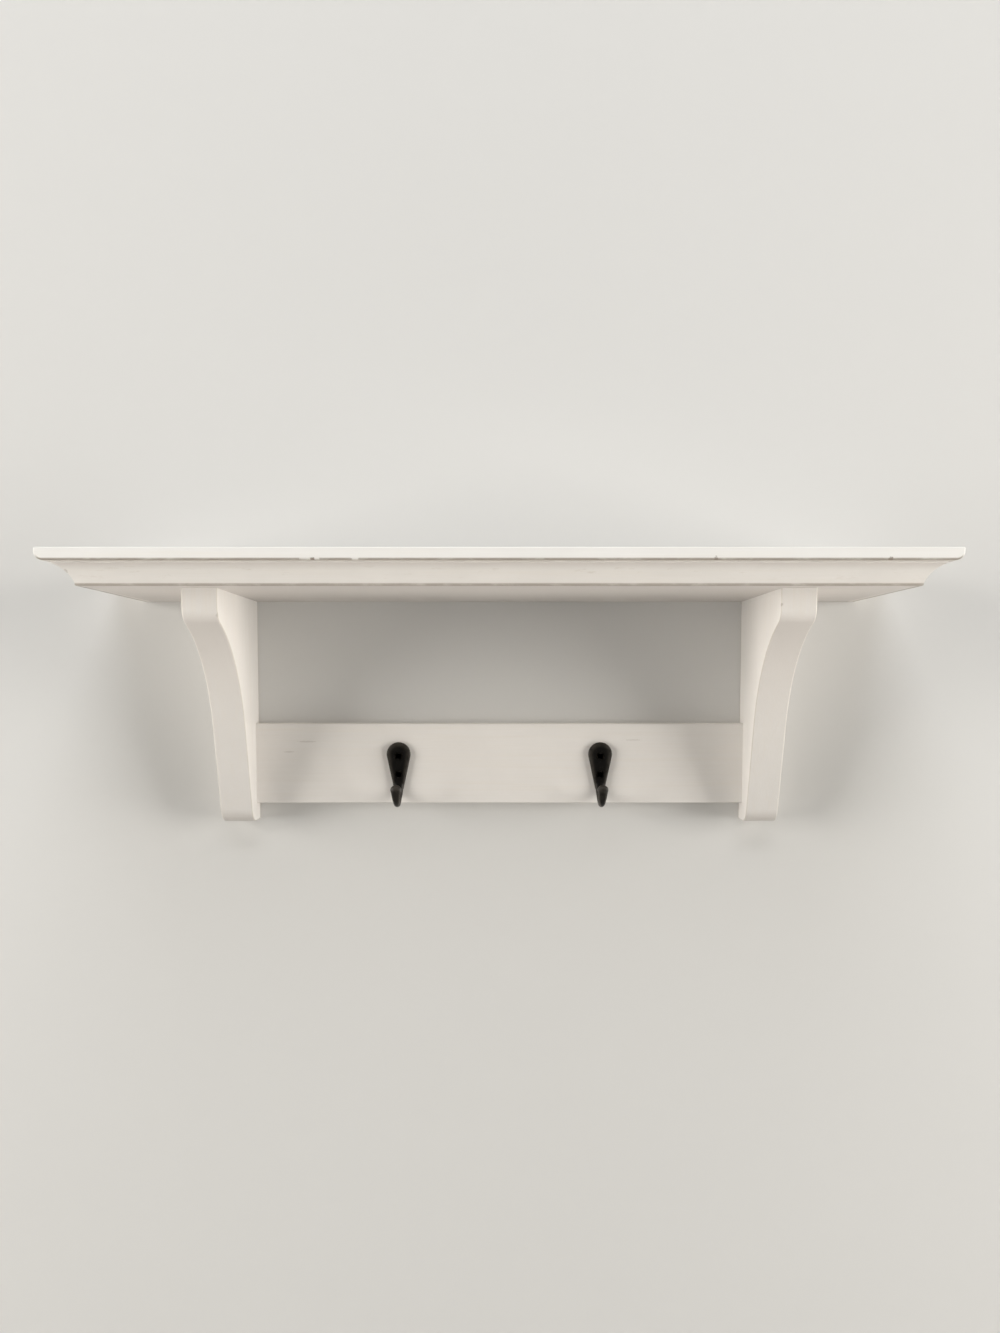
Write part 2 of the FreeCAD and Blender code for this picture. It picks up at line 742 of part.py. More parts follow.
def arm_section(body, index, share):
    """One elliptical section of the arm, square to its round path."""
    turn = share * QUARTER_TURN
    depth = S.arm_thickness / 2 + S.arm_radius + S.arm_radius * math.sin(math.radians(turn))
    height = -(S.hook_tail_drop + S.arm_radius * math.cos(math.radians(turn)))
    sketch = new_sketch(body, "arm_section_%d" % index, "XZ_Plane", depth)
    sketch.AttachmentOffset = FreeCAD.Placement(FreeCAD.Vector(), about_x(-turn))
    sketch.setExpression("AttachmentOffset.Base.y", height.text)
    draw_ellipse(sketch, arm_width(share), S.arm_thickness)
    return sketch


def arm_heel(body):
    """The thin top of the arm, where it fades into the plate."""
    sketch = new_sketch(body, "arm_heel", "XZ_Plane", S.arm_heel_thickness / 2 + S.arm_heel_depth)
    sketch.AttachmentOffset = FreeCAD.Placement(FreeCAD.Vector(), about_x(QUARTER_TURN))
    sketch.setExpression("AttachmentOffset.Base.y", (S.arm_heel_rise - S.hook_tail_drop).text)
    draw_ellipse(sketch, S.arm_heel_width, S.arm_heel_thickness)
    return sketch


def hook(side, sign):
    """A cast hook: its origin is the centre of the plate's round head, on the rail's face."""
    body = new_body(
        side + "_hook", x=S.hook_spacing / 2 * sign, y=-S.rail_thickness, z=HOOK_CENTRE)
    hook_plate(body)
    sections = [arm_heel(body)]
    sections += [arm_section(body, index, share) for index, share in enumerate(ARM_TURN_SHARES)]
    doc.recompute()
    arm = body.newObject("PartDesign::AdditiveLoft", "arm")
    arm.Profile = sections[0]
    arm.Sections = sections[1:]
    tip = body.newObject("PartDesign::AdditiveEllipsoid", "tip")
    tip.setExpression("Placement.Base.y", (-(S.arm_thickness / 2 + S.arm_radius * 2)).text)
    tip.setExpression("Placement.Base.z", (-S.hook_tail_drop).text)
    tip.setExpression("Radius1", S.arm_tip_rise.text)
    tip.setExpression("Radius2", (S.arm_tip_width / 2).text)
    tip.setExpression("Radius3", (S.arm_thickness / 2).text)
    doc.recompute()
    spots = [(0, drop) for drop in hook_screw_drops()]
    thickness = S.hook_plate_thickness
    countersink(body, "screw_sinks", "XZ_Plane", spots, "hook_screw", thickness, thickness)
    return body


# Fasteners

def pins(label, role, spots, x=ORIGIN, y=ORIGIN, z=ORIGIN, backward=False):
    """A group of separate headless pins that stand on one plane."""
    body = new_body(label, x, y, z)
    sketch = new_sketch(body, "ends", role)
    for place in spots:
        draw_circle(sketch, place[0], place[1], S.pin_radius)
    pad(sketch, "shanks", S.pin_length, backward)
    return body


def ledge_pins():
    top = pins("top_board_pins", "XY_Plane", top_pin_spots(),
               z=UNDERSIDE + S.ledge_height + S.top_thickness - S.top_pin_cover, backward=True)
    front = pins("front_moulding_pins", "XZ_Plane", front_pin_spots(),
                 y=-(LEDGE_DEPTH + S.cove_pin_bite), z=UNDERSIDE, backward=True)
    ends = [
        pins(side + "_return_pins", "YZ_Plane", return_pin_spots(),
             x=(LEDGE_HALF + S.cove_pin_bite) * sign, z=UNDERSIDE, backward=sign > 0)
        for side, sign in SIDES
    ]
    return [top, front] + ends


def screws_of_side(side, sign):
    """The bracket, keyhole plate and hook screws of one side."""
    made = []
    ledge_top = UNDERSIDE + S.ledge_height - S.screw_set
    for place, (x, y) in zip(("rear", "front"), bracket_screw_spots(BRACKET_CENTRE * sign)):
        label = "%s_bracket_%s_screw" % (side, place)
        made.append(countersunk_screw(label, "bracket_screw", x, y, ledge_top))
    for place, rise in zip(("lower", "upper"), PLATE_SCREW_RISES):
        label = "%s_keyhole_plate_%s_screw" % (side, place)
        x = BRACKET_CENTRE * sign
        made.append(countersunk_screw(label, "plate_screw", x, -S.screw_set, rise, -1))
    face = S.screw_set - S.rail_thickness - S.hook_plate_thickness
    for place, drop in zip(("upper", "lower"), hook_screw_drops()):
        label = "%s_hook_%s_screw" % (side, place)
        x = S.hook_spacing / 2 * sign
        made.append(countersunk_screw(label, "hook_screw", x, face, HOOK_CENTRE + drop, 1))
    return made


def dowels_of_side(side, sign):
    made = []
    for place, (y, z) in zip(("upper", "lower"), dowel_spots()):
        made.append(rail_dowel("%s_rail_%s_dowel" % (side, place), sign, RAIL_TOP + z))
    return made


def build():
    subparts = [top_board(), under_board(), front_cove_moulding(), hook_rail()]
    for side, sign in SIDES:
        subparts += [cove_return(side, sign), bracket(side, sign)]
        subparts += [keyhole_plate(side, sign), hook(side, sign)]
        subparts += screws_of_side(side, sign)
        subparts += dowels_of_side(side, sign)
    subparts += ledge_pins()
    return subparts


def check(subparts):
    """Stop if any object failed to compute, or a sub-part has no sound shape."""
    doc.recompute()
    for item in doc.Objects:
        if "Invalid" in item.State or "Error" in item.State:
            raise RuntimeError("%s of %s is %s" % (item.Name, item.Label, item.State))
    for item in subparts:
        if item.Shape.isNull() or not item.Shape.isValid() or not item.Shape.Solids:
            raise RuntimeError("%s has no sound shape" % item.Label)


def export(subparts):
    os.makedirs("parts", exist_ok=True)
    for item in subparts:
        item.Shape.exportStep("parts/%s.step" % item.Label)
        print("%-32s %d solid, %.1f mm3" % (item.Label, len(item.Shape.Solids), item.Shape.Volume))


made = build()
check(made)
export(made)
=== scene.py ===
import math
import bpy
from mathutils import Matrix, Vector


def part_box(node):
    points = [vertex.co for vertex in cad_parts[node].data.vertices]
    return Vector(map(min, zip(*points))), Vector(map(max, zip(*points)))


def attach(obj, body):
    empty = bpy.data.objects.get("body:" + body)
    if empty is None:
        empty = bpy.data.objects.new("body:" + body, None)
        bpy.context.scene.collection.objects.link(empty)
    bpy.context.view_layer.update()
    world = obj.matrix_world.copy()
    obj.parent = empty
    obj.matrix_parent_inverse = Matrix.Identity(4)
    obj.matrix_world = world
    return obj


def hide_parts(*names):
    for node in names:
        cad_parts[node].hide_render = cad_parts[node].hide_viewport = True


bl_info = {
    "name": "Wall Shelf with Hooks",
    "version": (1, 0, 0),
    "blender": (4, 5, 0),
    "location": "3D View > Sidebar > Wall Shelf",
    "description": "Finishes a painted wall shelf with two cast hooks and sets it against a pale wall",
    "category": "Object",
}

import bmesh
import bpy
from mathutils import Matrix, Vector

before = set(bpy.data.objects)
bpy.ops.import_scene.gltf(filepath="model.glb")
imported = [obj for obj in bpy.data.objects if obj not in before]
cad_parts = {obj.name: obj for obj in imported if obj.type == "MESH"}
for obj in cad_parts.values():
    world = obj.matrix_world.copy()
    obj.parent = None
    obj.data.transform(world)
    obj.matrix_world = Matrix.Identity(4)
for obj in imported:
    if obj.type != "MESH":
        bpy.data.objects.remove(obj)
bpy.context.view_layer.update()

MM = 0.001
QUARTER_TURN = math.radians(90)
SIDES = ("left", "right")


def pairs(*patterns):
    """The names of the left and right pieces of each pattern."""
    return [pattern.format(side) for pattern in patterns for side in SIDES]


BRACKETS = pairs("{}_bracket")
RETURNS = pairs("{}_cove_return")
HOOKS = pairs("{}_hook")
KEYHOLE_PLATES = pairs("{}_keyhole_plate")
RAIL_DOWELS = pairs("{}_rail_upper_dowel", "{}_rail_lower_dowel")
HOOK_SCREWS = pairs("{}_hook_upper_screw", "{}_hook_lower_screw")
PLATE_SCREWS = pairs("{}_keyhole_plate_upper_screw", "{}_keyhole_plate_lower_screw")
BRACKET_SCREWS = pairs("{}_bracket_rear_screw", "{}_bracket_front_screw")
PINS = ["top_board_pins", "front_moulding_pins"] + pairs("{}_return_pins")


def length_property(name, description, millimetres):
    """A length, given in millimetres."""
    return bpy.props.FloatProperty(
        name=name, description=description, default=millimetres * MM, min=0.0,
        subtype="DISTANCE", unit="LENGTH", precision=5)


def share_property(name, description, default):
    """A share from 0 to 1."""
    return bpy.props.FloatProperty(
        name=name, description=description, default=default, min=0.0, max=1.0, subtype="FACTOR")


def colour_property(name, description, default):
    """A colour in linear red, green and blue."""
    return bpy.props.FloatVectorProperty(
        name=name, description=description, default=default, min=0.0, max=1.0, size=3, subtype="COLOR")


def angle_property(name, description, degrees):
    """An angle, given in degrees."""
    return bpy.props.FloatProperty(
        name=name, description=description, default=math.radians(degrees), subtype="ANGLE",
        unit="ROTATION")


def level_property(name, description, default):
    """A level of light, where 1 shows a colour about as it is written."""
    return bpy.props.FloatProperty(name=name, description=description, default=default, min=0.0)


class PaintSettings(bpy.types.PropertyGroup):
    """The off-white paint on every wooden piece, how it has worn, and the light and shade painted into it.
    """

    paint: colour_property("Paint", "Colour of the sound paint", (0.856, 0.828, 0.800))
    # Painted light: the top board's paint is a whiter copy that stands in for the bright, less cream look
    # of its lit front.
    top_lit_paint: colour_property(
        "Top board", "Colour of the fresher coat on the top board", (0.848, 0.834, 0.808))
    # Painted shade: faces that look down take this darker copy of the paint.
    downward_shade_paint: colour_property(
        "Underside", "Colour of the thinner coat on faces that look down", (0.705, 0.664, 0.634))
    # Wear and painted shade: the colour of rubbed arrises, which on the brackets also darkens them all
    # along as painted shade over the lamps' highlight.
    thin_and_shaded_paint: colour_property("Thin paint", "Colour where the paint has worn thin", (0.62, 0.57, 0.50))
    # Part soil and part painted shade: the colour of the dark line under the overhang and along the lip.
    soil_and_shade: colour_property(
        "Soiled line", "Colour of the dull line along the lower arrises", (0.34, 0.30, 0.255))
    bare_wood: colour_property("Bare wood", "Colour of the wood in a chip", (0.20, 0.155, 0.115))
    back_wood: colour_property(
        "Back", "Colour of the thinly primed wood on the wall side", (0.60, 0.49, 0.35))
    # Painted shade: the rail's coat is a darker copy of the paint, for the shade under the ledge.
    rail_shade_tone: share_property("Rail", "Brightness of the rail's coat", 0.915)
    # Painted shade: how bright the paint is painted next to the wall, where less light reaches.
    wall_shade_tone: share_property("Next to the wall", "Brightness of the duller paint next to the wall", 0.77)
    brush_depth: length_property("Brush depth", "Height of the brush marks", 0.05)
    brush_width: length_property("Brush width", "Width of one bristle mark", 0.9)
    grain_width: length_property("Grain width", "Width of the grain that shows through the paint", 4.0)
    line_rise: length_property("Line rise", "How far the dull line climbs from a lower arris", 1.7)
    roughness: share_property("Roughness", "Roughness of the sound paint", 0.46)
    edge_wear: share_property("Edge wear", "How much of the arrises is rubbed thin", 0.3)


class MetalSettings(bpy.types.PropertyGroup):
    """The cast hooks, the screws, the keyhole plates and the pins."""

    iron: colour_property("Iron", "Colour of the black cast iron", (0.0028, 0.0024, 0.0019))
    # Wear and painted light: the rims are rubbed lighter, and the arm and tip are painted lighter where the
    # rounded arm catches the lamps.
    rubbed_and_lit_iron: colour_property(
        "Rubbed iron", "Colour of the iron's rubbed rims and arms", (0.024, 0.0195, 0.014))
    iron_roughness: share_property("Iron roughness", "Roughness of the iron's skin", 0.44)
    iron_shine: share_property("Iron shine", "Specular level of the iron's skin", 0.09)
    rubbed_shine: share_property("Rubbed shine", "Specular level where the iron is rubbed", 0.34)
    cast_grain: length_property("Cast grain", "Size of the casting's grain", 0.9)
    screw_black: colour_property("Black screw", "Colour of the black steel screws", (0.0035, 0.003, 0.0022))
    zinc: colour_property("Zinc", "Colour of the zinc on plates and hidden screws", (0.46, 0.47, 0.485))
    steel: colour_property("Steel", "Colour of the drawn steel pins", (0.34, 0.345, 0.35))
    recess_span: share_property("Recess span", "Span of the cross recess, as a share of the head", 0.6)
    recess_slot: share_property("Recess slot", "Width of the recess's wings, as a share of its span", 0.26)
    recess_depth: share_property("Recess depth", "Depth of the recess, as a share of its span", 0.42)
    shank_share: share_property("Shank", "Thickness of a screw's shank, as a share of its head", 0.465)
    core_share: share_property("Core", "Thickness under the thread, as a share of the shank", 0.7)
    thread_share: share_property("Threaded part", "Share of the screw that is threaded", 0.62)
    thread_pitch: share_property("Pitch", "Pitch of the thread, as a share of the shank's diameter", 0.42)


class WoodSettings(bpy.types.PropertyGroup):
    """The bare wood of the dowels."""

    beech: colour_property("Beech", "Colour of the dowels", (0.56, 0.37, 0.205))
    beech_dark: colour_property("Beech fleck", "Colour of the dowels' flecks", (0.34, 0.2, 0.1))


class StageSettings(bpy.types.PropertyGroup):
    """The pale wall and floor, the lights and the camera."""

    wall: colour_property("Wall", "Colour of the wall", (0.635, 0.631, 0.62))
    floor: colour_property("Floor", "Colour of the floor", (0.58, 0.573, 0.556))
    floor_height: bpy.props.FloatProperty(
        name="Floor height", description="Height of the floor", default=-1.5,
        subtype="DISTANCE", unit="LENGTH")
    sky: level_property("Sky", "Level of the even light from all round", 0.01)
    right_level: level_property("Right lamp", "Light of the right lamp on a surface that faces it", 1.07)
    left_level: level_property("Left lamp", "Light of the left lamp on a surface that faces it", 1.03)
    top_level: level_property("High lamp", "Light of the high lamp on a surface that faces it", 0.56)
    back_level: level_property(
        "Back lamp", "Light of the lamp behind the wall on a surface that faces it", 0.42)
    side_colour: colour_property("Side light", "Colour of the side lamps", (1.0, 0.965, 0.905))
    high_colour: colour_property("High light", "Colour of the high lamp", (0.95, 0.975, 1.0))
    side_turn: angle_property("Side turn", "How far the side lamps stand round from the front", 70.0)
    right_rise: angle_property("Right rise", "How high the right lamp stands", 1.0)
    left_rise: angle_property("Left rise", "How high the left lamp stands", 4.0)
    top_rise: angle_property("High rise", "How high the high lamp stands", 60.0)
    back_rise: angle_property("Back rise", "How high the lamp behind the wall stands", 20.0)
    camera_place: bpy.props.FloatVectorProperty(
        name="Camera", description="Where the camera stands", default=(0.0005, -0.9, -0.0262),
        size=3, subtype="TRANSLATION", unit="LENGTH", precision=5)
    camera_pitch: angle_property("Camera pitch", "How far the camera looks down", 4.15)
    lens: bpy.props.FloatProperty(
        name="Lens", description="Focal length in millimetres", default=30.03, min=1.0)
    rise: bpy.props.FloatProperty(
        name="Rise", description="Upward shift of the lens, as a share of the picture's height",
        default=0.0739)


class Finish:
    """One material, built up from the sockets of its skin."""

    def __init__(self, name, shown):
        self.material = bpy.data.materials.new(name)
        self.material.use_nodes = True
        self.material.diffuse_color = (*shown, 1.0)
        self.tree = self.material.node_tree
        self.tree.nodes.clear()
        self.skin = self.add("ShaderNodeBsdfPrincipled")
        self.surface = self.add("ShaderNodeOutputMaterial").inputs["Surface"]
        self.feed(self.surface, self.skin.outputs[0])
        self.place = self.add("ShaderNodeTexCoord").outputs["Object"]

    def add(self, kind, **settings):
        """A new node with these settings."""
        node = self.tree.nodes.new(kind)
        for name, value in settings.items():
            setattr(node, name, value)
        return node

    def feed(self, socket, value):
        """Link a socket to another, or set it to a plain value."""
        if isinstance(value, bpy.types.NodeSocket):
            self.tree.links.new(value, socket)
        elif socket.type == "RGBA" and len(value) == 3:
            socket.default_value = (*value, 1.0)
        else:
            socket.default_value = value

    def set(self, **values):
        """Set the skin's own sockets by name, with underscores for spaces."""
        for name, value in values.items():
            self.feed(self.skin.inputs[name.replace("_", " ")], value)

    def blend(self, share, shader):
        """Mix a second shader into the skin, by a share from 0 to 1."""
        mixer = self.add("ShaderNodeMixShader")
        self.feed(mixer.inputs[0], share)
        self.feed(mixer.inputs[1], self.skin.outputs[0])
        self.feed(mixer.inputs[2], shader.outputs[0])
        self.feed(self.surface, mixer.outputs[0])

    def math(self, operation, *values, clamp=False):
        """A sum on plain numbers."""
        node = self.add("ShaderNodeMath", operation=operation, use_clamp=clamp)
        for socket, value in zip(node.inputs, values):
            self.feed(socket, value)
        return node.outputs[0]

    def vector(self, operation, *values):
        """A sum on vectors."""
        node = self.add("ShaderNodeVectorMath", operation=operation)
        for socket, value in zip(node.inputs, values):
            self.feed(socket, value)
        return node.outputs["Value" if operation == "LENGTH" else "Vector"]

    def parts(self, vector):
        """The X, Y and Z of a vector."""
        node = self.add("ShaderNodeSeparateXYZ")
        self.feed(node.inputs[0], vector)
        return node.outputs[0], node.outputs[1], node.outputs[2]

    def normal(self):
        """The way the surface faces."""
        return self.add("ShaderNodeNewGeometry").outputs["Normal"]

    def stretched(self, sizes):
        """The place on the piece, counted in grains of these sizes in metres."""
        node = self.add("ShaderNodeMapping", vector_type="POINT")
        self.feed(node.inputs["Vector"], self.place)
        self.feed(node.inputs["Scale"], tuple(1.0 / size for size in sizes))
        return node.outputs[0]

    def noise(self, sizes, detail=2.0, roughness=0.5, distortion=0.0):
        """Soft noise in grains of these sizes."""
        node = self.add("ShaderNodeTexNoise", noise_dimensions="3D")
        self.feed(node.inputs["Vector"], self.stretched(sizes))
        self.feed(node.inputs["Scale"], 1.0)
        self.feed(node.inputs["Detail"], detail)
        self.feed(node.inputs["Roughness"], roughness)
        self.feed(node.inputs["Distortion"], distortion)
        return node.outputs["Fac"]

    def cells(self, sizes):
        """Cells of these sizes, with the distance to a cell's middle and a colour for each cell."""
        node = self.add("ShaderNodeTexVoronoi")
        self.feed(node.inputs["Vector"], self.stretched(sizes))
        self.feed(node.inputs["Scale"], 1.0)
        return node.outputs

    def fade(self, value, low, high, start=0.0, end=1.0):
        """A smooth step from start at low to end at high."""
        node = self.add("ShaderNodeMapRange", interpolation_type="SMOOTHSTEP", clamp=True)
        numbers = {"Value": value, "From Min": low, "From Max": high, "To Min": start, "To Max": end}
        for name, number in numbers.items():
            self.feed(node.inputs[name], number)
        return node.outputs[0]

    def mix(self, share, first, second):
        """The first colour where the share is 0, and the second where it is 1."""
        node = self.add("ShaderNodeMix", data_type="RGBA", clamp_factor=True)
        self.feed(node.inputs["Factor"], share)
        self.feed(node.inputs[6], first)
        self.feed(node.inputs[7], second)
        return node.outputs[2]

    def most(self, *values):
        """The largest of several values."""
        best = values[0]
        for value in values[1:]:
            best = self.math("MAXIMUM", best, value)
        return best

    def relief(self, height, distance):
        """Raise the surface by shares of a distance."""
        node = self.add("ShaderNodeBump")
        self.feed(node.inputs["Height"], height)
        self.feed(node.inputs["Distance"], distance)
        self.set(Normal=node.outputs[0])


def scaled(colour, share):
    """A colour, brighter or darker all over."""
    return tuple(channel * share for channel in colour)


def tinted(colour, tint):
    """A colour with a share for each of its channels."""
    return tuple(channel * share for channel, share in zip(colour, tint))


def even(size):
    """Grain sizes for X, Y and Z, all the same."""
    return size, size, size


def along_grain(axis, length, width):
    """Grain sizes for X, Y and Z, long on one axis."""
    sizes = [width, width, width]
    sizes["XYZ".index(axis)] = length
    return tuple(sizes)


def outline(name, inset=0.0):
    """The half width, front and underside of a piece, drawn in by an inset."""
    low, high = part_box(name)
    return high[0] - inset, low[1] + inset, low[2]


# The moulding's lip stands this far out from the board behind it.
LIP_THICKNESS = 6.5 * MM
# The board is rounded under each end by this radius.
END_ROUND = 5.5 * MM
BOARD_HALF, BOARD_FRONT, BOARD_BASE = outline("top_board")
LIP_HALF, LIP_FRONT, LIP_BASE = outline("under_board", -LIP_THICKNESS)
BOARD_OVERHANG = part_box("front_cove_moulding")[0][1] - BOARD_FRONT
RAIL_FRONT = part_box("hook_rail")[0][1]
BRACKET_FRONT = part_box("left_bracket")[0][1]
BRACKET_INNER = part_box("right_bracket")[0][0]


def marks_from(corner, *rows):
    """Marks on the paint, each with its centre, its half sizes and how strong it is.

    A row gives the centre's offset from a corner, and the half sizes, in millimetres.
    """
    marks = []
    for offset, half_sizes, strength in rows:
        centre = tuple(base + step * MM for base, step in zip(corner, offset))
        marks.append((centre, scaled(half_sizes, MM), strength))
    return marks


BOARD_CORNER = (0.0, BOARD_FRONT, BOARD_BASE)
# Chips along the board's lower front arris, and short lengths of it where the dark line is missing.
BOARD_CHIPS = marks_from(
    BOARD_CORNER,
    ((-122.2, 0.6, 0.7), (1.5, 1.4, 1.0), 0.8),
    ((141.8, 0.6, 0.7), (1.3, 1.4, 1.9), 0.5),
    ((256.4, 0.6, 0.7), (1.8, 1.4, 1.3), 0.7),
    ((31.0, 0.6, 0.7), (2.2, 1.4, 0.4), 0.3))
BOARD_SOUND = marks_from(
    BOARD_CORNER,
    ((-94.4, 0.6, 0.7), (2.6, 4.0, 2.0), 0.8),
    ((-127.3, 0.6, 0.7), (3.6, 4.0, 2.0), 0.55),
    ((-119.3, 0.6, 0.7), (1.7, 4.0, 2.0), 0.7))
# Chips on the moulding's left mitre and along its right end.
MOULDING_CHIPS = (
    marks_from((-LIP_HALF, LIP_FRONT, LIP_BASE), ((-4.3, -4.3, 9.0), (1.6, 1.6, 2.4), 0.3))
    + marks_from((LIP_HALF, LIP_FRONT, LIP_BASE), ((6.0, 47.0, 6.0), (1.0, 2.6, 0.8), 0.4)))
# Chips on the inner arris of each bracket's nose.
BRACKET_CHIPS = (
    marks_from((-BRACKET_INNER, BRACKET_FRONT, 0.0), ((-0.4, 1.0, 20.5), (1.4, 1.6, 3.0), 0.22))
    + marks_from((BRACKET_INNER, BRACKET_FRONT, 0.0), ((0.5, 0.4, 28.6), (0.9, 1.0, 1.2), 0.35)))
# Faint scuffs on the rail's face.
RAIL_SCUFFS = marks_from(
    (0.0, RAIL_FRONT, 0.0),
    ((-154.0, 0.0, -71.8), (7.0, 0.5, 0.6), 0.2),
    ((-168.5, 0.0, -80.0), (4.0, 0.5, 0.7), 0.17),
    ((107.0, 0.0, -70.5), (6.0, 0.5, 0.6), 0.14))
# A mark starts at this share of its half sizes, and is whole from this one inwards.
MARK_EDGE = 1.15
MARK_CORE = 0.75


def marks_at(finish, marks, ragged):
    """How marked each place is, with broken outlines."""
    shares = []
    for centre, half_sizes, strength in marks:
        offset = finish.vector("SUBTRACT", finish.place, centre)
        shaped = finish.vector("DIVIDE", offset, half_sizes)
        reach = finish.math("ADD", finish.vector("LENGTH", shaped), ragged)
        shares.append(finish.fade(reach, MARK_EDGE, MARK_CORE, 0.0, strength))
    return finish.most(*shares)


def eased_arris(finish):
    """1 in the middle of an eased arris and 0 on the faces beside it."""
    largest = finish.most(*finish.parts(finish.vector("ABSOLUTE", finish.normal())))
    return finish.fade(largest, 0.97, 0.78)


def sawn_arris(finish):
    """The same on a sawn board, whose outline curves but whose two faces look to the sides."""
    square = finish.math("POWER", finish.parts(finish.normal())[0], 2.0)
    return finish.math(
        "MULTIPLY", finish.math("MULTIPLY", square, 4.0), finish.math("SUBTRACT", 1.0, square))


# The dark line along the lower arrises is part soil and part painted shade: the shade under the overhang,
# across the lip and on the round under each end.
# The dull line reaches this share of the way back, under the board's overhang or across the lip,
LINE_REACH = 0.55
# and is whole up to these shares of its rise and of its reach.
LINE_CORE_RISE = 0.45
LINE_CORE_REACH = 0.6
# It fades out round each end of the board between these shares of the end's rounding.
LINE_END_LOW = 0.15
LINE_END_HIGH = 0.8
# On the moulding's lip it is taller and weaker than on the board, by these shares.
LIP_LINE_RISE = 1.3
LIP_LINE_SHARE = 0.85


def lower_arris(finish, half_width, front, above, rise, reach):
    """1 along a lower outer arris of the ledge, fading out above it and behind it."""
    across, along = finish.parts(finish.place)[:2]
    from_end = finish.math("SUBTRACT", half_width, finish.math("ABSOLUTE", across))
    from_front = finish.math("SUBTRACT", along, front)
    inset = finish.math("MINIMUM", from_end, from_front)
    low = finish.fade(above, rise, LINE_CORE_RISE * rise)
    return finish.math("MULTIPLY", low, finish.fade(inset, reach, LINE_CORE_REACH * reach))


def board_line(finish, rise):
    """The dull line on the board, part soil and part painted shade, which follows the round under each end.
    """
    place = finish.parts(finish.place)
    across, height = place[0], place[2]
    beyond = finish.math("SUBTRACT", finish.math("ABSOLUTE", across), BOARD_HALF - END_ROUND)
    beyond = finish.math("MAXIMUM", beyond, 0.0)
    below = finish.math("MAXIMUM", finish.math("SUBTRACT", BOARD_BASE + END_ROUND, height), 0.0)
    square = finish.math("MULTIPLY_ADD", beyond, beyond, finish.math("MULTIPLY", below, below))
    above = finish.math("SUBTRACT", END_ROUND, finish.math("SQRT", square))
    line = lower_arris(finish, BOARD_HALF, BOARD_FRONT, above, rise, LINE_REACH * BOARD_OVERHANG)
    end = finish.fade(
        height, BOARD_BASE + LINE_END_HIGH * END_ROUND, BOARD_BASE + LINE_END_LOW * END_ROUND)
    return finish.math("MULTIPLY", line, end)


def lip_line(finish, rise):
    """The fainter line along the front of the moulding's lip, part soil and part painted shade."""
    above = finish.math("SUBTRACT", finish.parts(finish.place)[2], LIP_BASE)
    line = lower_arris(
        finish, LIP_HALF, LIP_FRONT, above, LIP_LINE_RISE * rise, LINE_REACH * LIP_THICKNESS)
    return finish.math("MULTIPLY", line, LIP_LINE_SHARE)


# How long the paint's marks are along the grain, and how wide the rubbed patches are.
BRUSH_LENGTH = 45 * MM
HAIR_LENGTH = 22 * MM
GRAIN_LENGTH = 160 * MM
RUB_LENGTH = 16 * MM
RUB_WIDTH = 5 * MM
# How wide the mark of one hair is, as a share of a bristle mark.
HAIR_SHARE = 0.4
# How large the clouds in the colour, the tooth of the skin and the notches of a mark's edge are.
CLOUD_SIZE = 55 * MM
TOOTH_SIZE = 0.35 * MM
NOTCH_SIZE = 1.1 * MM
# How bright the clouds and the brush marks are in the paint, and the lines in the primed back.
CLOUD_TONE = 0.965
BRUSH_TONE = 0.94
BACK_LINE_TONE = 0.72
# The tint of the paint over the grain.
GRAIN_TINT = (0.97, 0.95, 0.915)
# How high each pattern stands, and how deep a chip goes, as shares of twice the brush depth.
BRUSH_HEIGHT = 0.55
HAIR_HEIGHT = 0.2
GRAIN_HEIGHT = 0.9
TOOTH_HEIGHT = 0.08
CHIP_DEPTH = 2.5
# Places in front of the wall: where the painted shade is darkest, and where the primed back starts and is
# whole.
DARKEST_SHADE_PLACE = -8 * MM
BACK_START = -0.5 * MM
BACK_WHOLE = -0.1 * MM
# How much of the primed wood shows there.
BACK_SHARE = 0.75
# Where the painted shade towards the wall starts on the under board and on the brackets.
UNDER_BOARD_SHADE_FROM = -120 * MM
BRACKET_SHADE_FROM = -80 * MM
PAINT_SHINE = 0.38


class PaintPatterns:
    """The patterns of brushed paint on wood whose grain runs along one axis."""

    def __init__(self, finish, settings, axis):
        brush_sizes = along_grain(axis, BRUSH_LENGTH, settings.brush_width)
        hair_sizes = along_grain(axis, HAIR_LENGTH, HAIR_SHARE * settings.brush_width)
        grain_sizes = along_grain(axis, GRAIN_LENGTH, settings.grain_width)
        rub_sizes = along_grain(axis, RUB_LENGTH, RUB_WIDTH)
        self.brush = finish.noise(brush_sizes, detail=3.0, roughness=0.62)
        self.hair = finish.noise(hair_sizes, detail=1.0)
        self.grain = finish.noise(grain_sizes, detail=4.0, roughness=0.7, distortion=0.6)
        self.cloud = finish.noise(even(CLOUD_SIZE), detail=3.0, roughness=0.6)
        self.tooth = finish.noise(even(TOOTH_SIZE), detail=2.0)
        self.rubbed = finish.noise(rub_sizes, detail=5.0, roughness=0.68)
        notches = finish.noise(even(NOTCH_SIZE), detail=3.0, roughness=0.6)
        self.ragged = finish.fade(notches, 0.2, 0.8, -0.35, 0.35)


def brushed_coat(finish, patterns, paint):
    """Sound paint: a little cloudy, warmer over the grain and duller in the brush marks."""
    colour = finish.mix(finish.fade(patterns.cloud, 0.3, 0.7), paint, scaled(paint, CLOUD_TONE))
    grain = finish.fade(patterns.grain, 0.42, 0.78, 0.0, 0.6)
    colour = finish.mix(grain, colour, tinted(paint, GRAIN_TINT))
    brush = finish.fade(patterns.brush, 0.35, 0.75, 0.0, 0.3)
    return finish.mix(brush, colour, scaled(paint, BRUSH_TONE))


